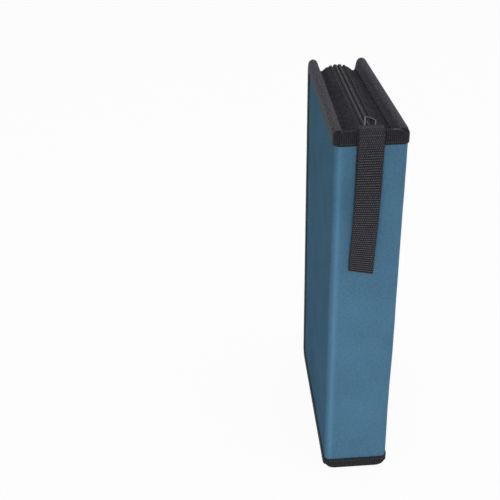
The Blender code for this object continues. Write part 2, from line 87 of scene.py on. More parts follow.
class WalletSizes(bpy.types.PropertyGroup):
    """Sizes of the wallet's main forms."""

    height: length("Height", "Height over the binding", 0.295)
    depth: length("Depth", "From the spine's face to the fore-edge", 0.158)
    spine_width: length("Spine width", "Across the spine, over the cloth", 0.050)
    toe_in: FloatProperty(
        name="Toe-in", description="Lean of each cover towards the zip", default=math.radians(1.2), subtype="ANGLE"
    )
    fold_radius: length("Fold radius", "Radius of the folded cloth beside the spine", 0.0045)
    corner_radius: length("Corner radius", "Radius of the covers' far corners", 0.012)
    corner_drop: length("Corner drop", "How far the edge sinks at the spine's corners", 0.003)
    corner_run: length("Corner run", "Over what length the edge sinks there", 0.008)
    edge_radius: length("Edge radius", "Rounding of the folded binding", 0.0024)
    outer_leg: length("Outer hem", "Width of the binding outside", 0.010)
    inner_leg: length("Inner hem", "Width of the binding inside", 0.008)
    flare: length("Hem flare", "How far the inner hem stands off its cover", 0.0018)
    zip_inset: length("Zip inset", "Depth of the zip below the covers' edge", 0.0065)
    valley_inset: length("Valley inset", "Depth of the gusset's valleys below the covers' edge", 0.0095)
    coil_width: length("Coil width", "Width of one half of the coil", 0.0022)
    coil_height: length("Coil height", "Height of the coil's turns", 0.0013)


class WalletCloth(bpy.types.PropertyGroup):
    """Colours and threads of the wallet's cloth."""

    shell: colour("Shell", "Woven nylon of the covers and spine", "#4b718a")
    trim: colour("Binding", "Ribbed binding tape", "#242428")
    gusset: colour("Gusset", "Woven cloth of the gusset", "#2b2b31")
    # The strap's crest and groove colours are a lit and a shaded copy of its webbing: painted highlight on the ribs,
    # painted shade between them
    crest: colour("Webbing crests", "Crests of the strap's ribs", "#66666f")
    groove_shade: colour("Webbing troughs", "Grooves between the strap's ribs", "#17171b")
    thread: length("Shell thread", "Spacing of the shell's threads", 0.0007)
    rib: length("Binding rib", "Spacing of the binding's ribs", 0.0014)
    strap_rib: length("Strap rib", "Spacing of the strap's ribs", 0.00175)
    stitch: length("Stitch", "Spacing of the stitches", 0.0032)
    coil_pitch: length("Coil pitch", "Spacing of the coil's turns", 0.0014)
    seed: IntProperty(name="Seed", description="Seed of the cloth's wrinkles", default=7)


class WalletStrap(bpy.types.PropertyGroup):
    """The wrist strap, one webbing folded double."""

    width: length("Width", "Width of the webbing", 0.0177)
    thickness: length("Thickness", "Thickness of the webbing", 0.0009)
    layer_gap: length("Gap", "Between the two layers", 0.0002)
    reach: length("Sewn end", "How far its ends lie behind the spine's face", 0.0049)
    drop: length("Drop", "From the top of the case to the fold", 0.1075)
    bow: length("Bow", "How far it stands off the spine", 0.0028)
    aside: length("Aside", "How far it sits left of the middle", 0.0008)
    lean: FloatProperty(name="Lean", description="Sideways lean per length of drop", default=0.031)


def layout():
    """The sizes with everything that follows from them."""
    s = bpy.context.scene.wallet_sizes
    v = SimpleNamespace(**{key: getattr(s, key) for key in WalletSizes.__annotations__})
    # Thicknesses, and the gap between layers
    v.gap, v.shell, v.board, v.lining = 0.0003, 0.0007, 0.0022, 0.0005
    v.cloth, v.tape, v.binding = 0.0007, 0.0006, 0.0006
    # Half the gap between the tapes, the slider's length and its room at both ends
    v.zip_gap, v.slider, v.slider_gap = 0.0006, 0.0105, 0.0004
    v.lining_end = v.shell + v.gap + v.board + v.gap + v.lining
    v.gusset_at = v.lining_end + v.gap
    v.panel_inset = v.edge_radius + v.gap
    v.proud = v.gap + v.binding
    v.flat = v.spine_width / 2 - v.fold_radius
    v.hinge_inset = v.fold_radius * (1 - math.pi / 4)
    v.half_arc = v.fold_radius * math.pi / 4
    reach = math.hypot(v.hinge_inset + v.proud, v.fold_radius - v.hinge_inset)
    v.cover_start = v.hinge_inset + reach + v.gap
    v.gusset_start = v.cover_start + v.gap
    v.outer = -v.gap - v.binding / 2
    v.spine_inner = v.lining_end + v.gap + v.binding / 2
    v.cover_inner = v.gusset_at + v.cloth + v.gap + v.binding / 2
    v.coil_start = v.spine_inner + v.binding / 2 + v.slider_gap + v.slider + v.slider_gap
    v.over_tape = v.zip_inset - v.tape / 2 - v.gap
    return v


def place_cover(v, side, depth, y, z):
    """World point at a depth under a cover's outer face, from distances along the cover."""
    angle = side * v.toe_in
    across = side * (v.hinge_inset - depth)
    along = y - v.hinge_inset
    x = side * (v.spine_width / 2 - v.hinge_inset) + across * math.cos(angle) - along * math.sin(angle)
    return (x, SPINE_Y + v.hinge_inset + across * math.sin(angle) + along * math.cos(angle), z)


def arc(cu, cv, radius, start, end, steps):
    points = []
    for i in range(steps + 1):
        a = math.radians(start + (end - start) * i / steps)
        points.append((cu + radius * math.cos(a), cv + radius * math.sin(a)))
    return points


def edge_drop(v, distance):
    """How far the edge sinks at a distance along the outline from the middle of the fold."""
    if distance >= v.corner_run:
        return 0.0
    return v.corner_drop * (1 - distance / v.corner_run) ** 2


def spine_drop(v, x):
    return edge_drop(v, v.half_arc + v.spine_width / 2 - v.fold_radius - abs(x))


def fold_drop(v, turn):
    if turn > 1:
        return edge_drop(v, v.half_arc + v.cover_start - v.fold_radius)
    return edge_drop(v, abs(2 * turn - 1) * v.half_arc)


def hem_flare(v, inset):
    """How far the gusset and the inner hem on it stand off the cover at an inset."""
    return v.flare * max(0.0, inset - v.edge_radius) / (v.inner_leg - v.edge_radius)


def three_sides(v, start, spacing=0.004, dropped=False):
    """Stations round a cover: (y, z, way in y, way in z, distance run)."""
    centre = v.depth - v.corner_radius
    straight = max(2, round((centre - start) / spacing))
    down = v.height - v.corner_radius
    half = []
    for i in range(straight):
        y = start + (centre - start) * i / straight
        drop = edge_drop(v, y - v.fold_radius + v.half_arc) if dropped else 0.0
        half.append((y, v.height - drop, 0.0, -1.0))
    for y, z in arc(centre, down, v.corner_radius, 90, 0, 14):
        half.append((y, z, (centre - y) / v.corner_radius, (down - z) / v.corner_radius))
    side = max(2, round((2 * down - v.height) / spacing))
    middle = []
    for i in range(1, side):
        middle.append((v.depth, down - (2 * down - v.height) * i / side, -1.0, 0.0))
    rest = [(y, v.height - z, a, -b) for y, z, a, b in reversed(half)]
    stations, run = [], 0.0
    for i, (y, z, a, b) in enumerate(half + middle + rest):
        if i:
            run += math.hypot(y - stations[-1][0], z - stations[-1][1])
        stations.append((y, z, a, b, run))
    return stations


def spline(points, steps):
    """A smooth line through control points."""
    points = [Vector(p) for p in points]
    padded = [2 * points[0] - points[1]] + points + [2 * points[-1] - points[-2]]
    line = []
    for a, b, c, d in zip(padded, padded[1:], padded[2:], padded[3:]):
        for i in range(steps):
            t = i / steps
            line.append(
                0.5 * (2 * b + (c - a) * t + (2 * a - 5 * b + 4 * c - d) * t * t + (3 * b - a - 3 * c + d) * t**3)
            )
    line.append(points[-1])
    return line


def relief(point, size, amount, shift=0.0):
    """Slow relief of slack cloth, the same wherever it is asked for one point."""
    seed = bpy.context.scene.wallet_cloth.seed * 3.1 + shift
    return amount * noise.noise(Vector(point) / size + Vector((seed, seed * 0.7, seed * 1.3)))


def smoothstep(value):
    value = max(0.0, min(1.0, value))
    return value * value * (3 - 2 * value)


def grid_mesh(name, rows, uvs, ring=False):
    """A mesh through rows of points with the cloth's own lengths in metres as its UV map."""
    count = len(rows[0])
    faces, marks = [], []
    for r in range(len(rows) - 1):
        for c in range(count if ring else count - 1):
            d = (c + 1) % count
            faces.append((r * count + c, r * count + d, (r + 1) * count + d, (r + 1) * count + c))
            marks += [uvs[r][c], uvs[r][c + 1], uvs[r + 1][c + 1], uvs[r + 1][c]]
    if ring:
        for r, order in ((0, -1), (len(rows) - 1, 1)):
            cap = [r * count + c for c in range(count)][::order]
            faces.append(cap)
            marks += [uvs[r][c - r * count] for c in cap]
    mesh = bpy.data.meshes.new(name)
    mesh.from_pydata([tuple(p) for row in rows for p in row], [], faces)
    layer = mesh.uv_layers.new(name="Cloth")
    layer.data.foreach_set("uv", [n for uv in marks for n in uv])
    mesh.validate()
    if ring:
        tidy_normals(mesh)
    return mesh


def tidy_normals(mesh):
    bm = bmesh.new()
    bm.from_mesh(mesh)
    bmesh.ops.recalc_face_normals(bm, faces=bm.faces)
    bm.to_mesh(mesh)
    bm.free()


def add_object(name, data):
    obj = bpy.data.objects.new(name, data)
    bpy.context.scene.collection.objects.link(obj)
    return obj


def final_mesh(obj):
    """A plain mesh of an object as its modifiers leave it."""
    bpy.context.view_layer.update()
    return bpy.data.meshes.new_from_object(obj.evaluated_get(bpy.context.evaluated_depsgraph_get()))


def mark(mesh, name, values):
    """A number on each point, for the materials."""
    mesh.attributes.new(name, "FLOAT", "POINT").data.foreach_set("value", values)


def add_piece(name, mesh, mat, thickness=0.0, sharp=60, back=None):
    """An object of a mesh with its finish, and for cloth its thickness, the back in a finish of its own."""
    obj = add_object(name, mesh)
    mesh.materials.clear()
    mesh.materials.append(mat)
    if thickness:
        solid = obj.modifiers.new("Thickness", "SOLIDIFY")
        solid.thickness = thickness
        solid.offset = 0.0
        if back:
            mesh.materials.append(back)
            solid.material_offset = 1
        mesh = final_mesh(obj)
        obj.modifiers.remove(solid)
        obj.data = mesh
        mesh.name = name
    mesh.shade_smooth()
    if sharp:
        mesh.set_sharp_from_angle(angle=math.radians(sharp))
    return obj


def cloth_piece(name, rows, mat, thickness, body=None, node=None, uvs=None, painted_fold_highlights=None, back=None):
    """A cloth through rows of points. It rides on its body and stands for a solid of the frame."""
    mesh = grid_mesh(name, rows, uvs or measure(rows))
    if painted_fold_highlights:
        mark(mesh, "painted_fold_highlight", painted_fold_highlights)
    piece = add_piece(name, mesh, finish(mat), thickness, back=back and finish(back))
    if body:
        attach(piece, body)
    if node:
        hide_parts(node)
    return piece


def measure(rows):
    """UV rows from the lengths between points: along the rows, then across them."""
    along, uvs = 0.0, []
    for r, row in enumerate(rows):
        if r:
            along += (Vector(row[0]) - Vector(rows[r - 1][0])).length
        across, line = 0.0, []
        for c, point in enumerate(row):
            if c:
                across += (Vector(point) - Vector(row[c - 1])).length
            line.append((along, across))
        uvs.append(line)
    return uvs


def add_node(tree, kind, inputs=None, **settings):
    """A node with its settings, and its inputs linked or set."""
    made = tree.nodes.new(kind)
    for key, value in settings.items():
        setattr(made, key, value)
    for key, value in (inputs or {}).items():
        if isinstance(value, bpy.types.NodeSocket):
            tree.links.new(value, made.inputs[key])
        else:
            made.inputs[key].default_value = value
    return made


def new_material(name, roughness, metallic=0.0, sheen=0.0, gloss=0.5):
    """A material with its tree and shader."""
    mat = bpy.data.materials.new(name)
    mat.use_nodes = True
    tree = mat.node_tree
    shader = tree.nodes["Principled BSDF"]
    shader.inputs["Roughness"].default_value = roughness
    shader.inputs["Metallic"].default_value = metallic
    shader.inputs["Sheen Weight"].default_value = sheen
    shader.inputs["Sheen Roughness"].default_value = 0.5
    shader.inputs["Specular IOR Level"].default_value = gloss
    return mat, tree, shader


def paint(tree, shader, factor, low, high):
    """Colours the shader between two colours, by a factor socket."""
    blend = add_node(tree, "ShaderNodeMix", {0: factor, 6: (*low, 1.0), 7: (*high, 1.0)}, data_type="RGBA")
    tree.links.new(blend.outputs[2], shader.inputs["Base Color"])
    return blend.outputs[2]


def fade_to(tree, shader, factor, target):
    """Fades the shader's present colour to another, by a factor socket."""
    now = shader.inputs["Base Color"].links[0].from_socket
    fade = add_node(tree, "ShaderNodeMix", {0: factor, 6: now, 7: (*target, 1.0)}, data_type="RGBA")
    tree.links.new(fade.outputs[2], shader.inputs["Base Color"])


def scaled(base, amount):
    return tuple(min(1.0, c * amount) for c in base)


def cloth_lengths(tree, pitch_u, pitch_v):
    """The cloth's UV map counted in threads."""
    uv = add_node(tree, "ShaderNodeUVMap", uv_map="Cloth").outputs[0]
    return add_node(tree, "ShaderNodeMapping", {"Vector": uv, "Scale": (1 / pitch_u, 1 / pitch_v, 1.0)}).outputs[0]


def wall_lengths(tree, pitch):
    """Places on the upright faces of the frame's solids counted in threads: along the plan, then up."""
    where = add_node(tree, "ShaderNodeTexCoord").outputs["Object"]
    part = add_node(tree, "ShaderNodeSeparateXYZ", {0: where}).outputs
    along = add_node(tree, "ShaderNodeMath", {0: part[0], 1: part[1]}, operation="ADD").outputs[0]
    wall = add_node(tree, "ShaderNodeCombineXYZ", {"X": along, "Y": part[2]}).outputs[0]
    return add_node(tree, "ShaderNodeMapping", {"Vector": wall, "Scale": (1 / pitch, 1 / pitch, 1.0)}).outputs[0]


def weave_height(tree, threads):
    """Height of a plain weave: warp and weft threads by turns on top."""
    turns = add_node(tree, "ShaderNodeTexChecker", {"Vector": threads, "Scale": 1.0}).outputs["Fac"]
    band = {"Vector": threads, "Scale": ONE_BAND}
    warp, weft = (add_node(tree, "ShaderNodeTexWave", band, bands_direction=way).outputs["Fac"] for way in "XY")
    return add_node(tree, "ShaderNodeMix", {0: turns, 2: warp, 3: weft}, data_type="FLOAT").outputs[0]


def set_bump(tree, shader, height, distance, strength=0.6):
    bump = add_node(tree, "ShaderNodeBump", {"Height": height, "Distance": distance, "Strength": strength})
    tree.links.new(bump.outputs[0], shader.inputs["Normal"])


def woven_material(
    name, base, thread, roughness, sheen, light=1.16, depth=0.00012, wear=0.06, cloud=28.0, gloss=0.04, solid=False
):
    """Plain-woven synthetic cloth: fine threads, a slightly uneven dye, and a painted highlight where it is folded
    beside the spine.
    """
    mat, tree, shader = new_material(name, roughness, sheen=sheen, gloss=gloss)
    threads = wall_lengths(tree, thread) if solid else cloth_lengths(tree, thread, thread)
    height = weave_height(tree, threads)
    tint = paint(tree, shader, height, scaled(base, 0.86), scaled(base, light))
    where = add_node(tree, "ShaderNodeTexCoord").outputs["Object"]
    dye = add_node(tree, "ShaderNodeTexNoise", {"Vector": where, "Scale": cloud, "Detail": 3.0}).outputs["Fac"]
    slub = add_node(tree, "ShaderNodeTexNoise", {"Vector": threads, "Scale": 0.35}).outputs["Fac"]
    uneven = add_node(tree, "ShaderNodeMath", {0: dye, 1: slub}, operation="ADD").outputs[0]
    limits = {"Value": uneven, "From Min": 0.7, "From Max": 1.3, "To Min": 1 - wear, "To Max": 1 + wear}
    level = add_node(tree, "ShaderNodeMapRange", limits).outputs[0]
    final = add_node(tree, "ShaderNodeVectorMath", {0: tint, 1: level}, operation="MULTIPLY")
    tree.links.new(final.outputs[0], shader.inputs["Base Color"])
    # Painted highlight: the cloth is lightened along the folds beside the spine by a mark on each point
    painted_fold_highlight = add_node(tree, "ShaderNodeAttribute", attribute_name="painted_fold_highlight").outputs["Fac"]
    fade_to(tree, shader, painted_fold_highlight, scaled(base, 1.65))
    set_bump(tree, shader, height, depth)
    return mat


def ribbed_material(name, low, high, rib, roughness, depth, fluff=0.0, spread=0.5):
    """Grosgrain: cords across the tape, painted dark between them as shade and lighter on their crests as a
    highlight, with an uneven fibre tone.
    """
    mat, tree, shader = new_material(name, roughness, sheen=0.03, gloss=0.12)
    threads = cloth_lengths(tree, rib, 0.0006)
    wave = add_node(tree, "ShaderNodeTexWave", {"Vector": threads, "Scale": ONE_BAND}).outputs["Fac"]
    slub = add_node(tree, "ShaderNodeTexNoise", {"Vector": threads, "Scale": 0.5}).outputs["Fac"]
    limits = {"Value": slub, "From Min": 0.5 - spread, "From Max": 0.5 + spread}
    fibre = add_node(tree, "ShaderNodeMapRange", limits).outputs[0]
    # Painted shade and highlight: the colour follows the ribs' height, dark in the grooves and light on the crests
    cord = add_node(tree, "ShaderNodeMath", {0: wave, 1: 1 - fluff, 2: fluff}, operation="MULTIPLY_ADD").outputs[0]
    rib_light_and_fibre = add_node(tree, "ShaderNodeMath", {0: cord, 1: fibre}, operation="MULTIPLY").outputs[0]
    paint(tree, shader, rib_light_and_fibre, low, high)
    set_bump(tree, shader, wave, depth)
    return mat


def grained_material(name, roughness, low, high, scale, detail=2.0, metallic=0.0, depth=0.0):
    """A material whose colour wanders with a fine grain."""
    mat, tree, shader = new_material(name, roughness, metallic=metallic)
    where = add_node(tree, "ShaderNodeTexCoord").outputs["Object"]
    grain = add_node(tree, "ShaderNodeTexNoise", {"Vector": where, "Scale": scale, "Detail": detail}).outputs["Fac"]
    paint(tree, shader, grain, from_hex(low), from_hex(high))
    if depth:
        set_bump(tree, shader, grain, depth)
    return mat, tree, shader, grain


def make_materials():
    """Every finish of the wallet, by name."""
    c = bpy.context.scene.wallet_cloth
    mats = {}
    # Woven 600-denier nylon with a coated back: matt, faint threads drawn coarser than real, a painted highlight
    # along its folds beside the spine
    mats["nylon"] = woven_material("woven_blue_nylon", c.shell, c.thread, 0.62, 0.01, wear=0.12, gloss=0.0)
    # Woven polyester, dyed black: softer and more matt than the shell, its threads drawn coarser than real
    mats["gusset"] = woven_material("woven_black_polyester", c.gusset, 0.0008, 0.8, 0.04, wear=0.5, cloud=240.0)
    # Polyurethane coating on the nylon's back: black, even and slightly shiny
    mats["coating"] = woven_material("coated_cloth_back", from_hex("#1f1f22"), c.thread, 0.5, 0.0, depth=0.00004)
    # Taffeta of the lining: fine and a little shiny, its threads drawn coarser, on solids with no UV map
    mats["lining"] = woven_material("lining_taffeta", from_hex("#2b2b30"), 0.0009, 0.55, 0.04, light=1.5, solid=True)
    # Warp-ribbed grosgrain tape, folded over the edge and pressed, its ribs painted with shade in the grooves and a
    # highlight on the crests
    low, high = scaled(c.trim, 0.4), scaled(c.trim, 2.6)
    mats["binding"] = ribbed_material("grosgrain_binding", low, high, c.rib, 0.75, 0.0003)
    # The same tape on the covers' edges, rubbed and fluffed so that its ribs fade, and painted much lighter than the
    # band as light from above
    # A lighter copy of the binding: partly wear, partly painted light from above
    low, high = scaled(c.trim, 1.1), scaled(c.trim, 5.4)
    mats["edge"] = ribbed_material("worn_and_top_lit_edge_binding", low, high, c.rib, 0.8, 0.00008, fluff=0.6, spread=0.2)
    mats["tape"] = tape_material()
    mats["webbing"] = webbing_material(c)
    # Extruded nylon monofilament, wound to a coil: smooth with a low gloss
    mats["coil"] = grained_material("nylon_monofilament", 0.38, "#1a1a1d", "#323237", 900.0)[0]
    mats["thread"] = thread_material("black_thread", "#141416", "#2c2c31")
    # Chain-stitch thread on the coil, partly real, and pale as a painted highlight on the coil's crowns
    mats["seam"] = thread_material("pale_coil_thread_as_highlight", "#47474e", "#6e6e76")
    mats["tack"] = thread_material("frayed_grey_thread", "#6e6e75", "#a0a0a6")
    mats["metal"] = gunmetal_material()
    # Pressed greyboard: pulp flecks under 1 mm in a dull grey
    mats["board"] = grained_material("greyboard", 0.9, "#6f6b64", "#a29d94", 1200.0, 4.0, depth=0.00005)[0]
    mats["pages"] = page_material()
    return mats


def tape_material():
    """Knitted polyester zip tape: fine wales along it."""
    mat, tree, shader = new_material("knitted_zip_tape", 0.75, sheen=0.05, gloss=0.15)
    height = weave_height(tree, cloth_lengths(tree, 0.0008, 0.0012))
    paint(tree, shader, height, from_hex("#1f1f23"), from_hex("#36363c"))
    set_bump(tree, shader, height, 0.0001)
    return mat


def webbing_material(c):
    """Heavy woven polypropylene webbing: rounded ribs of thick cord, painted dark in their grooves as shade and light
    on their crests as a highlight.
    """
    mat, tree, shader = new_material("ribbed_webbing", 0.7, sheen=0.03, gloss=0.15)
    # Warp floats 1.3 mm wide, set by half a float from rib to rib
    threads = cloth_lengths(tree, c.strap_rib, 0.0013)
    part = add_node(tree, "ShaderNodeSeparateXYZ", {0: threads}).outputs
    rib = add_node(tree, "ShaderNodeMath", {0: part[0]}, operation="FLOOR").outputs[0]
    brick = add_node(tree, "ShaderNodeMath", {0: rib, 1: 0.5, 2: part[1]}, operation="MULTIPLY_ADD").outputs[0]
    across = add_node(tree, "ShaderNodeCombineXYZ", {"X": brick}).outputs[0]
    warp = add_node(tree, "ShaderNodeTexWave", {"Vector": across, "Scale": ONE_BAND}).outputs["Fac"]
    slub = add_node(tree, "ShaderNodeTexNoise", {"Vector": threads, "Scale": 0.7, "Detail": 3.0}).outputs["Fac"]
    # Painted highlight on the rib crests and shade in the grooves, broken by a random slub
    rib_highlight_and_slub = add_node(tree, "ShaderNodeMath", {0: warp, 1: slub}, operation="MULTIPLY").outputs[0]
    rib_highlight_and_slub = add_node(tree, "ShaderNodeMath", {0: rib_highlight_and_slub, 1: 2.2}, operation="MULTIPLY").outputs[0]
    crest = add_node(tree, "ShaderNodeAttribute", attribute_name="rib").outputs["Fac"]
    rib_highlight_and_slub = add_node(tree, "ShaderNodeMath", {0: rib_highlight_and_slub, 1: crest}, operation="MULTIPLY", use_clamp=True).outputs[0]
    paint(tree, shader, rib_highlight_and_slub, c.groove_shade, c.crest)
    set_bump(tree, shader, warp, 0.0001)
    return mat


def thread_material(name, low, high):
    """Twisted polyester sewing thread: fine turns of 0.4 mm along each stitch."""
    mat, tree, shader = new_material(name, 0.6, sheen=0.1)
    where = add_node(tree, "ShaderNodeTexCoord").outputs["Object"]
    turns = {"Vector": where, "Scale": ONE_BAND / 0.0004}
    twist = add_node(tree, "ShaderNodeTexWave", turns, bands_direction="DIAGONAL").outputs["Fac"]
    paint(tree, shader, twist, from_hex(low), from_hex(high))
    return mat


def gunmetal_material():
    """Die-cast zinc with a dark nickel plating: satin, a little rubbed."""
    low, high = "#3c3c40", "#5c5c60"
    mat, tree, shader, rub = grained_material("gunmetal_plating", 0.32, low, high, 420.0, 4.0, metallic=1.0)
    rough = add_node(tree, "ShaderNodeMapRange", {"Value": rub, "To Min": 0.24, "To Max": 0.42})
    tree.links.new(rough.outputs[0], shader.inputs["Roughness"])
    return mat


def page_material():
    """Non-woven fleece behind clear film: pale fibres with a gloss on top."""
    mat, tree, shader, _ = grained_material("fleece_and_film", 0.32, "#77797d", "#a3a5a9", 700.0, 5.0, depth=0.00003)
    shader.inputs["Coat Weight"].default_value = 0.4
    seam = add_node(tree, "ShaderNodeAttribute", attribute_name="seam").outputs["Fac"]
    fade_to(tree, shader, seam, from_hex("#56585c"))
    return mat


MATERIALS = {}


def finish(name):
    if not MATERIALS:
        MATERIALS.update(make_materials())
    return MATERIALS[name]


def dress_node(node, mat):
    """Gives a solid of the frame its finish."""
    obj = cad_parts[node]
    if not obj.material_slots:
        obj.data.materials.append(mat)
    for slot in obj.material_slots:
        slot.material = mat


def fold_stations(v, side):
    """Plan of the folded cloth from the spine's flat to the cover: (x, y, way in x, way in y, turn)."""
    stations = []
    for i, (x, y) in enumerate(arc(v.flat, v.fold_radius, v.fold_radius, -90, 0, 10)):
        way_x, way_y = (v.flat - x) / v.fold_radius, (v.fold_radius - y) / v.fold_radius
        stations.append((side * x, SPINE_Y + y, side * way_x, way_y, i / 10))
    x, y, _ = place_cover(v, side, 0.0, v.cover_start, 0.0)
    angle = side * v.toe_in
    stations.append((x, y, -side * math.cos(angle), -side * math.sin(angle), 1.3))
    return stations


def shell_point(v, point, way, edge_distance, pucker):
    """A point of the shell cloth, lifted by its slack and by the pull of the seams."""
    free = smoothstep((edge_distance - v.outer_leg) / 0.010)
    lift = free * (relief(point, 0.050, 0.00045) + relief(point, 0.016, 0.00013, 5.0))
    pull = 0.00014 * math.exp(-max(0.0, edge_distance - v.outer_leg) / 0.007)
    lift += pull * math.sin(pucker / 0.0062 * 2 * math.pi + 4 * relief(point, 0.02, 1.0, 9.0))
    lift -= v.shell / 2
    return tuple(a - lift * b for a, b in zip(point, way))


def painted_fold_highlight(side, run):
    """Painted highlight on the nylon beside the spine, by the length past the start of the fold."""
    centre, spread, most = (0.0038, 0.0011, 0.45) if side > 0 else (0.0008, 0.0019, 0.4)
    return most * math.exp(-(((run - centre) / spread) ** 2))


def make_spine_cloth(v):
    """The nylon on the spine's face, with a slight ridge where it turns into each fold."""
    columns, count = 40, 140
    rows = []
    for j in range(count + 1):
        row = []
        for i in range(columns + 1):
            x = -v.flat + 2 * v.flat * i / columns
            low = v.panel_inset + spine_drop(v, x)
            z = low + (v.height - 2 * low) * j / count
            near = min(z, v.height - z)
            point = shell_point(v, (x, SPINE_Y, z), (0, 1, 0), near, x)
            ridge = 0.00022 * math.exp(-(((v.flat - abs(x)) - 0.0014) / 0.0012) ** 2)
            row.append((point[0], point[1] - ridge * smoothstep((near - v.outer_leg) / 0.004), point[2]))
        rows.append(row)
    # A painted highlight on the spine's own cloth next to its folds
    painted_fold_highlights = [painted_fold_highlight(point[0], abs(point[0]) - v.flat) for row in rows for point in row]
    cloth_piece("spine_cloth", rows, "nylon", v.shell, "spine", "spine_shell", painted_fold_highlights=painted_fold_highlights)


def make_fold_cloth(v, name, side):
    """The nylon folded round from the spine to a cover, with its coated back."""
    stations, count = fold_stations(v, side), 140
    rows = []
    for j in range(count + 1):
        row = []
        for x, y, way_x, way_y, turn in stations:
            low = v.panel_inset + fold_drop(v, turn)
            z = low + (v.height - 2 * low) * j / count
            row.append(shell_point(v, (x, y, z), (way_x, way_y, 0), min(z, v.height - z), x + y))
        rows.append(row)
    if side < 0:
        rows.reverse()
    # A painted highlight along the fold, placed differently on each side
    painted_fold_highlights = [painted_fold_highlight(side, 2 * v.half_arc * station[4]) for station in stations] * len(rows)
    label = name + "_fold_cloth"
    piece = cloth_piece(label, rows, "nylon", v.shell, painted_fold_highlights=painted_fold_highlights, back="coating")
    blend_fold(piece)


def blend_fold(piece):
    """Bakes a piece's placement into its mesh."""
    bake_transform(piece)


def make_cover_cloth(v, name, side):
    """The nylon on a cover's outside."""
    top = [s for s in three_sides(v, v.cover_start) if s[1] > v.height / 2 and s[3] < -1e-6]
    ways = place_cover(v, side, 0.0, 0.0, 0.0), place_cover(v, side, 1.0, 0.0, 0.0)
    way = tuple(b - a for a, b in zip(*ways))
    rows = []
    for y, z, in_y, in_z, _ in top:
        y, high = y + v.panel_inset * in_y, z + v.panel_inset * in_z
        row = []
        for j in range(101):
            t = v.height - high + (2 * high - v.height) * j / 100
            near = min(t, v.height - t, v.depth - y)
            row.append(shell_point(v, place_cover(v, side, 0.0, y, t), way, near, y + t))
        rows.append(row)
    body = name + "_cover"
    return cloth_piece(body + "_cloth", rows, "nylon", v.shell, body, body + "_shell")


def hem_section(v, outer, inner, flare=0.0, rounder=0.0):
    """Middle line of the folded binding as (depth, inset) pairs."""
    top = v.binding / 2
    radius = min(v.edge_radius - top + rounder * 0.0009, (inner - outer) / 2 - v.gap / 4)
    points = []
    for i in range(5):
        points.append((outer, v.outer_leg + (top + radius - v.outer_leg) * i / 5))
    points += [(u, top + radius - w) for u, w in arc(outer + radius, 0, radius, 180, 90, 6)]
    points += [(u, top + radius - w) for u, w in arc(inner - radius, 0, radius, 90, 0, 6)]
    for i in range(1, 4):
        points.append((inner + flare * i / 3, top + radius + (v.inner_leg - top - radius) * i / 3))
    return points


def hem_ripple(point, inset, leg):
    """The hem's free edge waves a little where it is not sewn down hard."""
    return relief(point, 0.011, 0.00016, 2.0) * smoothstep(inset / leg)


def sunk(inset):
    """How much of the corner's drop reaches an inset."""
    return 1 - smoothstep((inset - 0.003) / 0.004)


def make_spine_band(v, top):
    """The ribbed hem over the spine's top or bottom edge."""
    rows = []
    for i in range(42):
        x = -v.flat + 2 * v.flat * i / 41
        row = []
        for depth, inset in hem_section(v, v.outer, v.spine_inner):
            edge = inset + spine_drop(v, x) * sunk(inset)
            z = v.height - edge if top else edge
            if depth < 0:
                depth += hem_ripple((x, depth, z), inset, v.outer_leg)
            row.append((x, SPINE_Y + depth, z))
        rows.append(row)
    end = "top" if top else "bottom"
    node = "spine_binding_" + end
    return cloth_piece("spine_band_" + end, rows, "binding", v.binding, "spine", node)


def make_fold_band(v, name, side, top):
    """The hem's corner: it fans out from one short inner fold to the round of the shell."""
    stations = fold_stations(v, side)
    near = (side * v.flat, SPINE_Y + v.spine_inner)
    far = place_cover(v, side, v.cover_inner, v.cover_start, 0.0)
    rows = []
    for i, (x, y, way_x, way_y, turn) in enumerate(stations):
        share = i / (len(stations) - 1)
        outer_x, outer_y = x + v.outer * way_x, y + v.outer * way_y
        inner_x = near[0] + (far[0] - near[0]) * share
        inner_y = near[1] + (far[1] - near[1]) * share
        row = []
        inner = v.spine_inner + (v.cover_inner - v.spine_inner) * share
        for depth, inset in hem_section(v, v.outer, inner, v.flare * share, share):
            part = (depth - v.outer) / (inner - v.outer)
            edge = inset + fold_drop(v, turn) * sunk(inset)
            if turn == 0 and depth < 0:
                part += hem_ripple((x, depth, edge), inset, v.outer_leg) / (inner - v.outer)
            place_x, place_y = outer_x + (inner_x - outer_x) * part, outer_y + (inner_y - outer_y) * part
            row.append((place_x, place_y, v.height - edge if top else edge))
        rows.append(row)
    label = f"{name}_fold_band_{'top' if top else 'bottom'}"
    piece = cloth_piece(label, rows, "binding", v.binding)
    blend_fold(piece)
    return piece


def make_cover_binding(v, name, side):
    """The ribbed hem round three sides of a cover."""
    rows = []
    for y, z, in_y, in_z, _ in three_sides(v, v.cover_start, 0.003, dropped=True):
        row = []
        for depth, inset in hem_section(v, v.outer, v.cover_inner, v.flare, 1.0):
            point = place_cover(v, side, depth, y + inset * in_y, z + inset * in_z)
            if depth < 0:
                fade = smoothstep((y - v.cover_start) / 0.004)
                ripple = fade * hem_ripple(point, inset, v.outer_leg)
                point = place_cover(v, side, depth + ripple, y + inset * in_y, z + inset * in_z)
            row.append(point)
        rows.append(row)
    label, body, node = name + "_edge_binding", name + "_cover", name + "_binding"
    return cloth_piece(label, rows, "edge", v.binding, body, node)


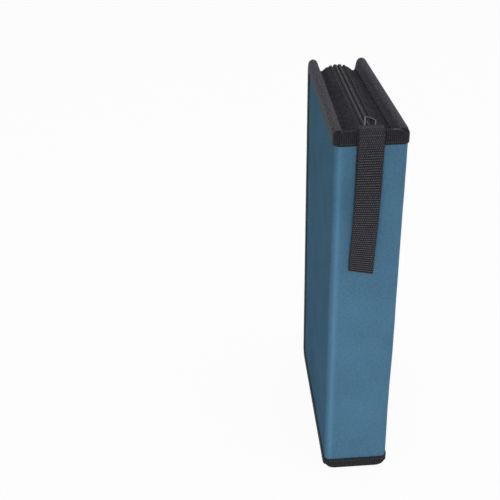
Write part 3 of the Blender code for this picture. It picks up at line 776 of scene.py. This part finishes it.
def make_gusset(v, name, side):
    """The gusset's cloth: out from under the binding, down into its valley and up on to the tape."""
    margin = v.gusset_at + v.cloth / 2
    hem = v.over_tape - v.cloth / 2
    # The hem's shoulder and edge from the zip's middle, and the valley's room beside the inner hem
    shoulder, edge, room = 0.0066, 0.0047, 0.0030
    valley, under = v.valley_inset, v.inner_leg + v.gap
    rise = valley - hem
    rows = []
    stations = three_sides(v, v.gusset_start, 0.003)
    total = stations[-1][4]
    for y, z, in_y, in_z, run in stations:
        control = []
        for off, inset in (
            (0.0, v.panel_inset),
            (0.0, (v.panel_inset + under) / 2),
            (0.0, under),
            (v.cloth, (v.inner_leg + valley) / 2 + v.gap),
        ):
            depth = margin + off + hem_flare(v, min(inset - v.gap, v.inner_leg))
            control.append(place_cover(v, side, depth, y + inset * in_y, z + inset * in_z))
        lean = (y + valley * in_y - v.hinge_inset) * math.tan(v.toe_in)
        half = v.spine_width / 2 - lean - margin - v.flare - room
        step = (half - shoulder) / 3
        for x, inset in (
            (half, valley),
            (half - step, valley - 0.24 * rise),
            (shoulder + step, valley - 0.60 * rise),
            (shoulder, hem + 0.16 * rise),
            ((shoulder + edge) / 2, hem + 0.02 * rise),
            (edge, hem),
        ):
            control.append((side * x, SPINE_Y + y + inset * in_y, z + inset * in_z))
        line = spline(control, 3)
        row = []
        for i, point in enumerate(line):
            # Slack cloth between both hems, with short pleats at the ends
            share = i / (len(line) - 1)
            free = smoothstep((share - 0.25) / 0.2) * (1 - smoothstep((share - 0.72) / 0.15))
            near_end = math.exp(-min(run, total - run) / 0.02)
            fold = relief((run * 0.22, share * 0.034, side * 0.1), 0.009, 0.0011, 3.0)
            fold += relief((run, share * 0.03, side * 0.2), 0.045, 0.0010, 4.0)
            fold += near_end * 0.0005 * math.sin(run / 0.006 * 2 * math.pi)
            lift = free * fold
            row.append((point[0], point[1] + lift * in_y, point[2] + lift * in_z))
        rows.append(row)
    label, body, node = name + "_gusset_cloth", name + "_cover", name + "_gusset"
    return cloth_piece(label, rows, "gusset", v.cloth, body, node)


def make_tape(v, name, side):
    """One half of the zip's tape, from the middle to under the gusset's hem."""
    middle, width = 0.00002, 0.00603
    rows = []
    for y, z, in_y, in_z, _ in three_sides(v, v.gusset_start):
        place = SPINE_Y + y + v.zip_inset * in_y, z + v.zip_inset * in_z
        rows.append([(side * (middle + width * i / 6), *place) for i in range(7)])
    uvs = [[(b, a) for a, b in row] for row in measure(rows)]
    label, body, node = name + "_tape_cloth", name + "_cover", name + "_zip_tape"
    return cloth_piece(label, rows, "tape", v.tape, body, node, uvs=uvs)


def start_tree(name, inputs):
    """A node tree with a path, named numbers and a finish going in, and its geometry coming out."""
    tree = bpy.data.node_groups.new(name, "GeometryNodeTree")
    tree.interface.new_socket("Path", in_out="INPUT", socket_type="NodeSocketGeometry")
    for label, default in inputs:
        tree.interface.new_socket(label, in_out="INPUT", socket_type="NodeSocketFloat").default_value = default
    tree.interface.new_socket("Finish", in_out="INPUT", socket_type="NodeSocketMaterial")
    tree.interface.new_socket("Result", in_out="OUTPUT", socket_type="NodeSocketGeometry")
    return tree, tree.nodes.new("NodeGroupInput").outputs


def follow_path(tree, given, shape, pivot="AUTO"):
    """Copies of a shape at an even pitch along the path, turned with it."""
    curve = add_node(tree, "GeometryNodeMeshToCurve", {"Mesh": given["Path"]}).outputs[0]
    even = add_node(tree, "GeometryNodeResampleCurve", {"Curve": curve, "Length": given["Pitch"]}, mode="LENGTH")
    tangent = add_node(tree, "GeometryNodeInputTangent").outputs[0]
    turn = add_node(tree, "FunctionNodeAlignRotationToVector", {"Vector": tangent}, axis="Y", pivot_axis=pivot)
    places = {"Points": even.outputs[0], "Instance": shape, "Rotation": turn.outputs[0]}
    copies = add_node(tree, "GeometryNodeInstanceOnPoints", places).outputs[0]
    real = add_node(tree, "GeometryNodeRealizeInstances", {0: copies}).outputs[0]
    smooth = add_node(tree, "GeometryNodeSetShadeSmooth", {0: real}).outputs[0]
    dressed = add_node(tree, "GeometryNodeSetMaterial", {"Geometry": smooth, "Material": given["Finish"]})
    tree.links.new(dressed.outputs[0], tree.nodes.new("NodeGroupOutput").inputs[0])


def coil_tree():
    """Turns of a zip's coil: flat loops round a cord, one at each pitch."""
    sizes = (("Pitch", 0.0014), ("Width", 0.0022), ("Height", 0.0013), ("Filament", 0.00032))
    tree, given = start_tree("coil_turns", sizes)
    ring = add_node(tree, "GeometryNodeCurvePrimitiveCircle", {"Resolution": 10, "Radius": 0.5}).outputs[0]
    bore = add_node(tree, "GeometryNodeCurvePrimitiveCircle", {"Resolution": 5, "Radius": given["Filament"]})
    size = add_node(tree, "ShaderNodeCombineXYZ", {"X": given["Width"], "Y": given["Height"], "Z": 1.0}).outputs[0]
    lie = {"Geometry": ring, "Scale": size, "Rotation": (math.pi / 2, 0.0, math.radians(14))}
    flat = add_node(tree, "GeometryNodeTransform", lie).outputs[0]
    wire = add_node(tree, "GeometryNodeCurveToMesh", {"Curve": flat, "Profile Curve": bore.outputs[0]})
    follow_path(tree, given, wire.outputs[0], "X")
    return tree


def stitch_tree():
    """A row of stitches: short rounded threads that dip in at both ends."""
    tree, given = start_tree("stitch_row", (("Pitch", 0.0032), ("Length", 0.0024), ("Thread", 0.00024)))
    body = add_node(tree, "GeometryNodeMeshUVSphere", {"Segments": 8, "Rings": 6, "Radius": 0.5}).outputs[0]
    double = add_node(tree, "ShaderNodeMath", {0: given["Thread"], 1: 2.0}, operation="MULTIPLY").outputs[0]
    size = add_node(tree, "ShaderNodeCombineXYZ", {"X": double, "Y": given["Length"], "Z": double}).outputs[0]
    shaped = add_node(tree, "GeometryNodeTransform", {"Geometry": body, "Scale": size})
    follow_path(tree, given, shaped.outputs[0])
    return tree


def grow(name, points, tree, values, mat, body):
    """Runs a node tree on a path, keeps its result as a plain mesh and lets it ride on a body."""
    line = bpy.data.meshes.new(name)
    line.from_pydata([tuple(p) for p in points], [(i, i + 1) for i in range(len(points) - 1)], [])
    path = add_object(name + "_path", line)
    step = path.modifiers.new("Grow", "NODES")
    step.node_group = tree
    values = {**values, "Finish": finish(mat)}
    for item in tree.interface.items_tree:
        if item.in_out == "INPUT" and item.name in values:
            step[item.identifier] = values[item.name]
    mesh = final_mesh(path)
    path.modifiers.remove(step)
    bpy.data.objects.remove(path, do_unlink=True)
    mesh.name = name
    piece = add_piece(name, mesh, finish(mat), sharp=0)
    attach(piece, body)
    return piece


def zip_line(x, inset, stations):
    """Points along the zip at a distance from its middle and an inset from the outline."""
    return [(x, SPINE_Y + y + inset * a, z + inset * b) for y, z, a, b, _ in stations]


def make_coil(v, name, side, tree):
    """One half of the zip's coil. The back half is set by half a pitch, so that the turns mesh."""
    c = bpy.context.scene.wallet_cloth
    stations = three_sides(v, v.coil_start, 0.002)
    if side < 0:
        y, z, in_y, in_z, run = stations[0]
        stations[0] = (y + c.coil_pitch / 2, z, in_y, in_z, run)
    stations.append((v.gusset_start, *stations[-1][1:]))
    # The halves leave room for the post between the slider's plates
    middle = side * (v.zip_gap + v.coil_width / 2 + 0.00005)
    points = zip_line(middle, v.over_tape - v.coil_height / 2, stations)
    values = {"Pitch": c.coil_pitch, "Width": v.coil_width, "Height": v.coil_height - 0.0002, "Filament": 0.00032}
    piece = grow(name + "_coil_turns", points, tree, values, "coil", name + "_cover")
    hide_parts(name + "_zip_coil")


def make_stitches(v, tree):
    """The rows of stitches that hold binding, gusset and coil."""
    c = bpy.context.scene.wallet_cloth
    values = {"Pitch": c.stitch, "Length": c.stitch * 0.78, "Thread": 0.00022}
    # The rows run 1.6 mm inside the binding's edge and 5.5 mm beside the zip's middle
    proud = v.outer - v.binding / 2
    inset, beside_zip = v.outer_leg - 0.0016, 0.0055
    for end, z in (("top", v.height - inset), ("bottom", inset)):
        points = [(-v.flat + 2 * v.flat * i / 20, SPINE_Y + proud, z) for i in range(21)]
        grow("spine_stitches_" + end, points, tree, values, "thread", "spine")
    # A few frayed stitches of a bar tack on the band's top, beside the front fold
    places = ((0.0142, 0.0012), (0.0152, 0.0022), (0.0160, 0.0008), (0.0171, 0.0019), (0.0180, 0.0012))
    points = [(x, SPINE_Y + y, v.height - spine_drop(v, x)) for x, y in places]
    tack = {"Pitch": 0.0012, "Length": 0.0008, "Thread": 0.00022}
    grow("corner_tack", points, tree, tack, "tack", "spine")
    # The coil is held to its tape by a chain stitch along its back; its pale thread also stands in for the painted
    # highlight on the coil's crowns
    seam = {"Pitch": c.coil_pitch, "Length": c.coil_pitch * 0.95, "Thread": 0.00016}
    for name, side in SIDES:
        body = name + "_cover"
        stations = three_sides(v, v.cover_start + 0.002, 0.003)
        points = [place_cover(v, side, proud, y + inset * a, z + inset * b) for y, z, a, b, _ in stations]
        grow(name + "_stitches", points, tree, values, "thread", body)
        crest = v.over_tape - v.coil_height + 0.00005
        points = zip_line(side * (0.00035 + v.coil_width / 2), crest, three_sides(v, v.coil_start, 0.002))
        grow(name + "_coil_seam", points, tree, seam, "seam", body)
        points = zip_line(side * beside_zip, v.over_tape - v.cloth, stations)
        grow(name + "_zip_stitches", points, tree, values, "thread", body)


def strap_path(v, strap):
    """Stations of one webbing along the doubled strap, (y, z, way out y, way out z, layer), and the bend's height."""
    half = strap.thickness + strap.layer_gap / 2
    radius = v.edge_radius + v.gap + half
    bend_y, bend_z = v.edge_radius - v.proud, v.height - v.edge_radius
    offset = (strap.thickness + strap.layer_gap) / 2
    middle = []
    for i in range(8):
        middle.append((strap.reach + (bend_y - strap.reach) * i / 8, bend_z + radius, 0.0, 1.0))
    for y, z in arc(bend_y, bend_z, radius, 90, 180, 14):
        middle.append((y, z, (y - bend_y) / radius, (z - bend_z) / radius))
    hang = strap.drop - v.edge_radius - offset - strap.thickness / 2
    # A station every quarter of a millimetre, for the ribs
    count = round(hang / 0.00025)
    for i in range(1, count + 1):
        share = i / count
        y = bend_y - radius - strap.bow * math.sin(math.pi * share) ** 2
        slope = strap.bow * math.pi / hang * math.sin(2 * math.pi * share)
        scale = math.hypot(1.0, slope)
        middle.append((y, bend_z - hang * share, -1.0 / scale, slope / scale))
    path = [(y + offset * a, z + offset * b, a, b, 0) for y, z, a, b in middle]
    end_y, end_z = middle[-1][:2]
    for y, z in arc(end_y, end_z, offset, 180, 360, 10)[1:-1]:
        path.append((y, z, (y - end_y) / offset, (z - end_z) / offset, 0.5))
    path += [(y - offset * a, z - offset * b, -a, -b, 1) for y, z, a, b in reversed(middle)]
    return path, bend_z


def make_strap(v):
    """The wrist strap: one ribbed webbing, folded double and held under the spine's top hem."""
    strap = bpy.context.scene.wallet_strap
    rib = bpy.context.scene.wallet_cloth.strap_rib
    path, bend_z = strap_path(v, strap)
    half = (0.0, 0.2, 0.4, 0.65, 0.84, 0.92, 0.95, 0.985, 1.0)
    columns = [-share for share in half[:0:-1]] + list(half)
    rows, uvs, ribs, run = [], [], [], 0.0
    total = sum(math.dist(a[:2], b[:2]) for a, b in zip(path, path[1:]))
    for i, (y, z, out_y, out_z, layer) in enumerate(path):
        if i:
            run += math.dist((y, z), path[i - 1][:2])
        plain = smoothstep((min(run, total - run) - 0.001) / 0.002)
        wave = abs(math.sin(math.pi * run / rib))
        below = max(0.0, bend_z - z)
        # The layer underneath peeks out near the top, and the lower end hangs skewed
        peek = -0.0006 * layer * smoothstep(1 - below / 0.055)
        skew = 0.22 * (below / strap.drop) ** 2
        # Near the sewn ends the webbing lies tight and flat: its crests get a weaker, evener painted highlight, its
        # grooves are shallower
        hung = smoothstep((below - 0.003) / 0.014)
        shine = max(wave**10 * (0.6 + 0.4 * hung), 0.22 * (1 - hung))
        row, line = [], []
        for face in (1, -1):
            for share in columns if face > 0 else reversed(columns):
                # The selvedge past 92% of the half width has no ribs and thins to its edge
                core = 1 - smoothstep((abs(share) - 0.92) / 0.06)
                thin = 0.00022 + 0.0002 * (1 - max(0.0, (abs(share) - 0.92) / 0.08) ** 2)
                reach = thin + core * (0.00002 + plain * 0.0002 * (wave**0.8 - 0.95))
                x = share * strap.width / 2 - strap.aside - strap.lean * below + peek
                x += relief((share, run, 0.0), 0.03, 0.0002, 6.0)
                low = z - share * strap.width / 2 * skew
                row.append((x, SPINE_Y + y + face * reach * out_y, low + face * reach * out_z))
                line.append((run, (share + 1) * strap.width / 2 if face > 0 else (3 - share) * strap.width / 2))
                # How much painted highlight each point gets: little on the selvedge and at the sewn ends
                ribs.append(0.06 + core * plain * (shine - 0.06))
        line.append((run, 2 * strap.width))
        rows.append(row)
        uvs.append(line)
    mesh = grid_mesh("strap_webbing", rows, uvs, ring=True)
    mark(mesh, "rib", ribs)
    piece = add_piece("strap_webbing", mesh, finish("webbing"))
    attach(piece, "spine")
    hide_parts("wrist_strap")


def make_puller():
    """The puller's wire loop, with its near bar in the slider's crown."""
    low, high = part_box("zip_puller")
    wire = (high.z - low.z) / 2
    half = (high.x - low.x) / 2 - wire
    near, far, z = low.y + wire, high.y - wire, (low.z + high.z) / 2
    corner = 0.0026
    loop = []
    above, below = far - corner, near + corner
    for x, y, start in ((1, above, 0), (-1, above, 90), (-1, below, 180), (1, below, 270)):
        loop += arc(x * (half - corner), y, corner, start, start + 90, 10)
    # The loop is slack in its crown: it has swung to the right and rolled on to the gusset's slope
    turn = Matrix.Rotation(math.radians(18), 3, "Y") @ Matrix.Rotation(-math.radians(12), 3, "Z")
    curve = bpy.data.curves.new("puller_wire", "CURVE")
    curve.dimensions = "3D"
    curve.bevel_depth = wire
    curve.bevel_resolution = 4
    line = curve.splines.new("POLY")
    line.points.add(len(loop) - 1)
    for point, (x, y) in zip(line.points, loop):
        point.co = (*(turn @ Vector((x, y - near, 0.0)) + Vector((0.0, near, z))), 1.0)
    line.use_cyclic_u = True
    source = add_object("puller_curve", curve)
    mesh = final_mesh(source)
    bpy.data.objects.remove(source, do_unlink=True)
    piece = add_piece("puller_wire", mesh, finish("metal"))
    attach(piece, "puller")
    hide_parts("zip_puller")


def make_pages(v):
    """Disc pages: fleece sheets with a clear pocket over each disc's place, bound at the spine."""
    low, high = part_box("sleeve_leaves")
    count, thick, corner = 20, 0.0008, 0.012
    # Half a leaf's thickness at its seams, and what a pocket adds to it
    seam_half, pocket_half = 0.00012, 0.00026
    # Half the fan's width at the spine and at the fore-edge, and where the leaves leave their bound edge
    near_half = high.x - thick / 2
    slack = (high.y - SPINE_Y - v.hinge_inset) * math.tan(v.toe_in)
    far_half = v.spine_width / 2 - slack - v.lining_end - 0.0017 - thick / 2
    start = low.y + 0.0048
    across, up = 24, 36
    line = up + 1
    sheet = (across + 1) * line
    border = [i * line for i in range(across + 1)]
    border += [across * line + j for j in range(1, line)]
    border += [i * line + up for i in range(across - 1, -1, -1)]
    border += list(range(up - 1, 0, -1))
    points, faces, seams = [], [], []
    for leaf in range(count):
        share = -1 + 2 * leaf / (count - 1)
        first = len(points)
        for face in (1, -1):
            base = len(points)
            for i in range(across + 1):
                y = start - 0.001 + (high.y - start + 0.001) * i / across
                cut = max(0.0, corner - (high.y - y))
                trim = corner - math.sqrt(max(0.0, corner**2 - cut**2))
                for j in range(line):
                    z = low.z + trim + (high.z - low.z - 2 * trim) * j / up
                    along = (y - start) / (high.y - start)
                    upper = (z - low.z) / (high.z - low.z)
                    pocket = abs(math.sin(2 * math.pi * upper)) ** 0.4 * min(1.0, abs(math.sin(math.pi * along)) * 3)
                    x = share * (near_half + (far_half - near_half) * max(0.0, along))
                    points.append((x + face * (seam_half + pocket_half * pocket), y, z))
                    seams.append(1.0 - min(1.0, pocket * 1.3))
            for i in range(across):
                for j in range(up):
                    a = base + i * line + j
                    quad = (a, a + 1, a + line + 1, a + line)
                    faces.append(quad if face < 0 else quad[::-1])
        for a, b in zip(border, border[1:] + border[:1]):
            faces.append((first + a, first + b, first + sheet + b, first + sheet + a))
    mesh = bpy.data.meshes.new("disc_pages")
    mesh.from_pydata(points, [], faces)
    mark(mesh, "seam", seams)
    tidy_normals(mesh)
    piece = add_piece("disc_pages", mesh, finish("pages"))
    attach(piece, "spine")
    block = bpy.data.meshes.new("page_block")
    bm = bmesh.new()
    size = (high.x - low.x, start - low.y, high.z - low.z)
    middle = (0.0, (start + low.y) / 2, (low.z + high.z) / 2)
    bmesh.ops.create_cube(bm, size=1.0, matrix=Matrix.Translation(middle) @ Matrix.Diagonal((*size, 1.0)))
    bmesh.ops.bevel(bm, geom=bm.edges[:], offset=0.0005, segments=2, affect="EDGES")
    bm.to_mesh(block)
    bm.free()
    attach(add_piece("page_block", block, finish("lining")), "spine")
    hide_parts("sleeve_leaves")


class WALLET_OT_shell(bpy.types.Operator):
    """Make the woven shell of spine and covers"""

    bl_idname = "wallet.shell"
    bl_label = "Shell cloth"

    def execute(self, context):
        v = layout()
        make_spine_cloth(v)
        for name, side in SIDES:
            make_fold_cloth(v, name, side)
            make_cover_cloth(v, name, side)
        return {"FINISHED"}


class WALLET_OT_binding(bpy.types.Operator):
    """Fold the ribbed binding over every edge"""

    bl_idname = "wallet.binding"
    bl_label = "Binding"

    def execute(self, context):
        v = layout()
        hems = [bpy.data.objects[name + "_fold_cloth"] for name, _ in SIDES]
        for top in (True, False):
            hems.append(make_spine_band(v, top))
            hems += [make_fold_band(v, name, side, top) for name, side in SIDES]
        for name, side in SIDES:
            make_cover_binding(v, name, side)
        return {"FINISHED"}


class WALLET_OT_gusset(bpy.types.Operator):
    """Make both halves of the gusset with their zip tapes"""

    bl_idname = "wallet.gusset"
    bl_label = "Gusset and tapes"

    def execute(self, context):
        v = layout()
        for name, side in SIDES:
            cloth = make_gusset(v, name, side)
            # The strip's middle line lies 8.5 mm inside the outline,
            # so each of its two corners is shorter by a quarter turn of that
            run = three_sides(v, v.gusset_start, 0.003)[-1][4] - math.pi * 0.0085
            make_tape(v, name, side)
        return {"FINISHED"}


class WALLET_OT_zip(bpy.types.Operator):
    """Wind the zip's coil and dress slider and puller"""

    bl_idname = "wallet.zip"
    bl_label = "Zip"

    def execute(self, context):
        tree = coil_tree()
        for name, side in SIDES:
            make_coil(layout(), name, side, tree)
        dress_node("zip_slider", finish("metal"))
        make_puller()
        return {"FINISHED"}


class WALLET_OT_stitches(bpy.types.Operator):
    """Sew the hems of binding and zip"""

    bl_idname = "wallet.stitches"
    bl_label = "Stitches"

    def execute(self, context):
        make_stitches(layout(), stitch_tree())
        return {"FINISHED"}


class WALLET_OT_strap(bpy.types.Operator):
    """Weave the ribbed wrist strap"""

    bl_idname = "wallet.strap"
    bl_label = "Wrist strap"

    def execute(self, context):
        make_strap(layout())
        return {"FINISHED"}


class WALLET_OT_inside(bpy.types.Operator):
    """Dress lining, boards and disc pages"""

    bl_idname = "wallet.inside"
    bl_label = "Inside"

    def execute(self, context):
        for node in ("spine_lining", "front_cover_lining", "back_cover_lining", "sleeve_binding_strip"):
            dress_node(node, finish("lining"))
        for node in ("spine_board", "front_cover_board", "back_cover_board"):
            dress_node(node, finish("board"))
        make_pages(layout())
        return {"FINISHED"}


def add_light(name, place, aim, size, power):
    """A soft round lamp at a place, aimed at a point."""
    light = bpy.data.lights.new(name, "AREA")
    light.shape = "DISK"
    light.size = size
    light.energy = power
    obj = add_object(name, light)
    obj.location = place
    obj.rotation_euler = (Vector(aim) - Vector(place)).to_track_quat("-Z", "Y").to_euler()
    return obj


def add_camera():
    """The camera, from the position and turns that fit the photograph's outline."""
    yaw, pitch, roll, pixels = 0.0673, 0.5266, -0.0186, 931.5
    forward = Vector((math.sin(yaw) * math.cos(pitch), math.cos(yaw) * math.cos(pitch), -math.sin(pitch)))
    right = Vector((math.cos(yaw), -math.sin(yaw), 0.0))
    up = right.cross(forward)
    across = math.cos(roll) * right + math.sin(roll) * up
    upward = -math.sin(roll) * right + math.cos(roll) * up
    data = bpy.data.cameras.new("camera")
    data.sensor_width = 36.0
    data.sensor_fit = "HORIZONTAL"
    data.lens = 36.0 * pixels / 500
    obj = add_object("camera", data)
    turn = Matrix((across, upward, -forward)).transposed().to_4x4()
    place = (-0.1202, -0.5609 + SPINE_Y, 0.5364)
    obj.matrix_world = Matrix.Translation(place) @ turn
    bpy.context.scene.camera = obj


def seen_directly(tree):
    """1 where the camera sees a surface itself, in a gloss or through a film, 0 where it only lights others."""
    path = add_node(tree, "ShaderNodeLightPath").outputs
    seen = path["Is Camera Ray"]
    for ray in ("Is Glossy Ray", "Is Transmission Ray"):
        seen = add_node(tree, "ShaderNodeMath", {0: seen, 1: path[ray]}, operation="MAXIMUM").outputs[0]
    return seen


def mix_surface(tree, share, plain, shown, output):
    """Shows one shader in the share of another."""
    mixed = add_node(tree, "ShaderNodeMixShader", {0: share, 1: plain.outputs[0], 2: shown.outputs[0]})
    tree.links.new(mixed.outputs[0], tree.nodes[output].inputs["Surface"])


class WALLET_OT_stage(bpy.types.Operator):
    """Set the pale floor, soft light and camera"""

    bl_idname = "wallet.stage"
    bl_label = "Stage"

    def execute(self, context):
        scene = context.scene
        scene.view_settings.view_transform = "Standard"
        white = (1.0, 1.0, 1.0, 1.0)
        bpy.ops.mesh.primitive_plane_add(size=8.0, location=(0.0, 0.0, -0.0001))
        floor = context.active_object
        floor.name = "floor"
        # Matt white board, shown as plain white but for the last 6%, which keeps the object's shadow
        mat, tree, shader = new_material("matt_white_floor", 0.9)
        shader.inputs["Base Color"].default_value = (0.86, 0.86, 0.86, 1.0)
        glow = add_node(tree, "ShaderNodeEmission", {"Color": white, "Strength": 1.0})
        share = add_node(tree, "ShaderNodeMath", {0: seen_directly(tree), 1: 0.94}, operation="MULTIPLY")
        mix_surface(tree, share.outputs[0], shader, glow, "Material Output")
        floor.data.materials.append(mat)

        world = bpy.data.worlds.new("studio")
        scene.world = world
        world.use_nodes = True
        tree = world.node_tree
        sky = tree.nodes["Background"]
        sky.inputs["Color"].default_value = (0.97, 0.98, 1.0, 1.0)
        sky.inputs["Strength"].default_value = 0.36
        plain = add_node(tree, "ShaderNodeBackground", {"Color": white, "Strength": 1.0})
        mix_surface(tree, seen_directly(tree), sky, plain, "World Output")

        add_light("key", (-0.3, -1.4, 0.8), (0.0, 0.0, 0.06), 0.8, 3.8)
        # A white card on the floor in front lights the lower part of the spine
        card = add_light("card", (-0.08, -0.42, 0.03), (0.0, SPINE_Y, 0.03), 0.3, 0.74)
        card.visible_camera = False
        add_light("top", (0.1, 0.2, 2.0), (0.0, 0.0, 0.1), 1.4, 12.0)
        add_light("fill", (1.4, -0.9, 1.0), (0.0, 0.0, 0.12), 1.4, 5.0)
        add_camera()
        return {"FINISHED"}


class WALLET_PT_panel(bpy.types.Panel):
    """Lists the wallet's pieces in the sidebar"""

    bl_idname = "WALLET_PT_panel"
    bl_label = "Disc wallet"
    bl_space_type = "VIEW_3D"
    bl_region_type = "UI"
    bl_category = "Wallet"

    def draw(self, context):
        for group in (context.scene.wallet_sizes, context.scene.wallet_cloth, context.scene.wallet_strap):
            box = self.layout.box()
            for key in type(group).__annotations__:
                box.prop(group, key)
        for operator in STEPS:
            self.layout.operator(operator.bl_idname)


STEPS = (
    WALLET_OT_stage,
    WALLET_OT_shell,
    WALLET_OT_binding,
    WALLET_OT_gusset,
    WALLET_OT_zip,
    WALLET_OT_stitches,
    WALLET_OT_strap,
    WALLET_OT_inside,
)
CLASSES = (WalletSizes, WalletCloth, WalletStrap, *STEPS, WALLET_PT_panel)


def register():
    for cls in CLASSES:
        bpy.utils.register_class(cls)
    bpy.types.Scene.wallet_sizes = PointerProperty(type=WalletSizes)
    bpy.types.Scene.wallet_cloth = PointerProperty(type=WalletCloth)
    bpy.types.Scene.wallet_strap = PointerProperty(type=WalletStrap)


def unregister():
    del bpy.types.Scene.wallet_strap
    del bpy.types.Scene.wallet_cloth
    del bpy.types.Scene.wallet_sizes
    for cls in reversed(CLASSES):
        bpy.utils.unregister_class(cls)


def main():
    register()
    bpy.ops.wallet.stage()
    bpy.ops.wallet.shell()
    bpy.ops.wallet.binding()
    bpy.ops.wallet.gusset()
    bpy.ops.wallet.zip()
    bpy.ops.wallet.stitches()
    bpy.ops.wallet.strap()
    bpy.ops.wallet.inside()


if __name__ == "__main__":
    main()
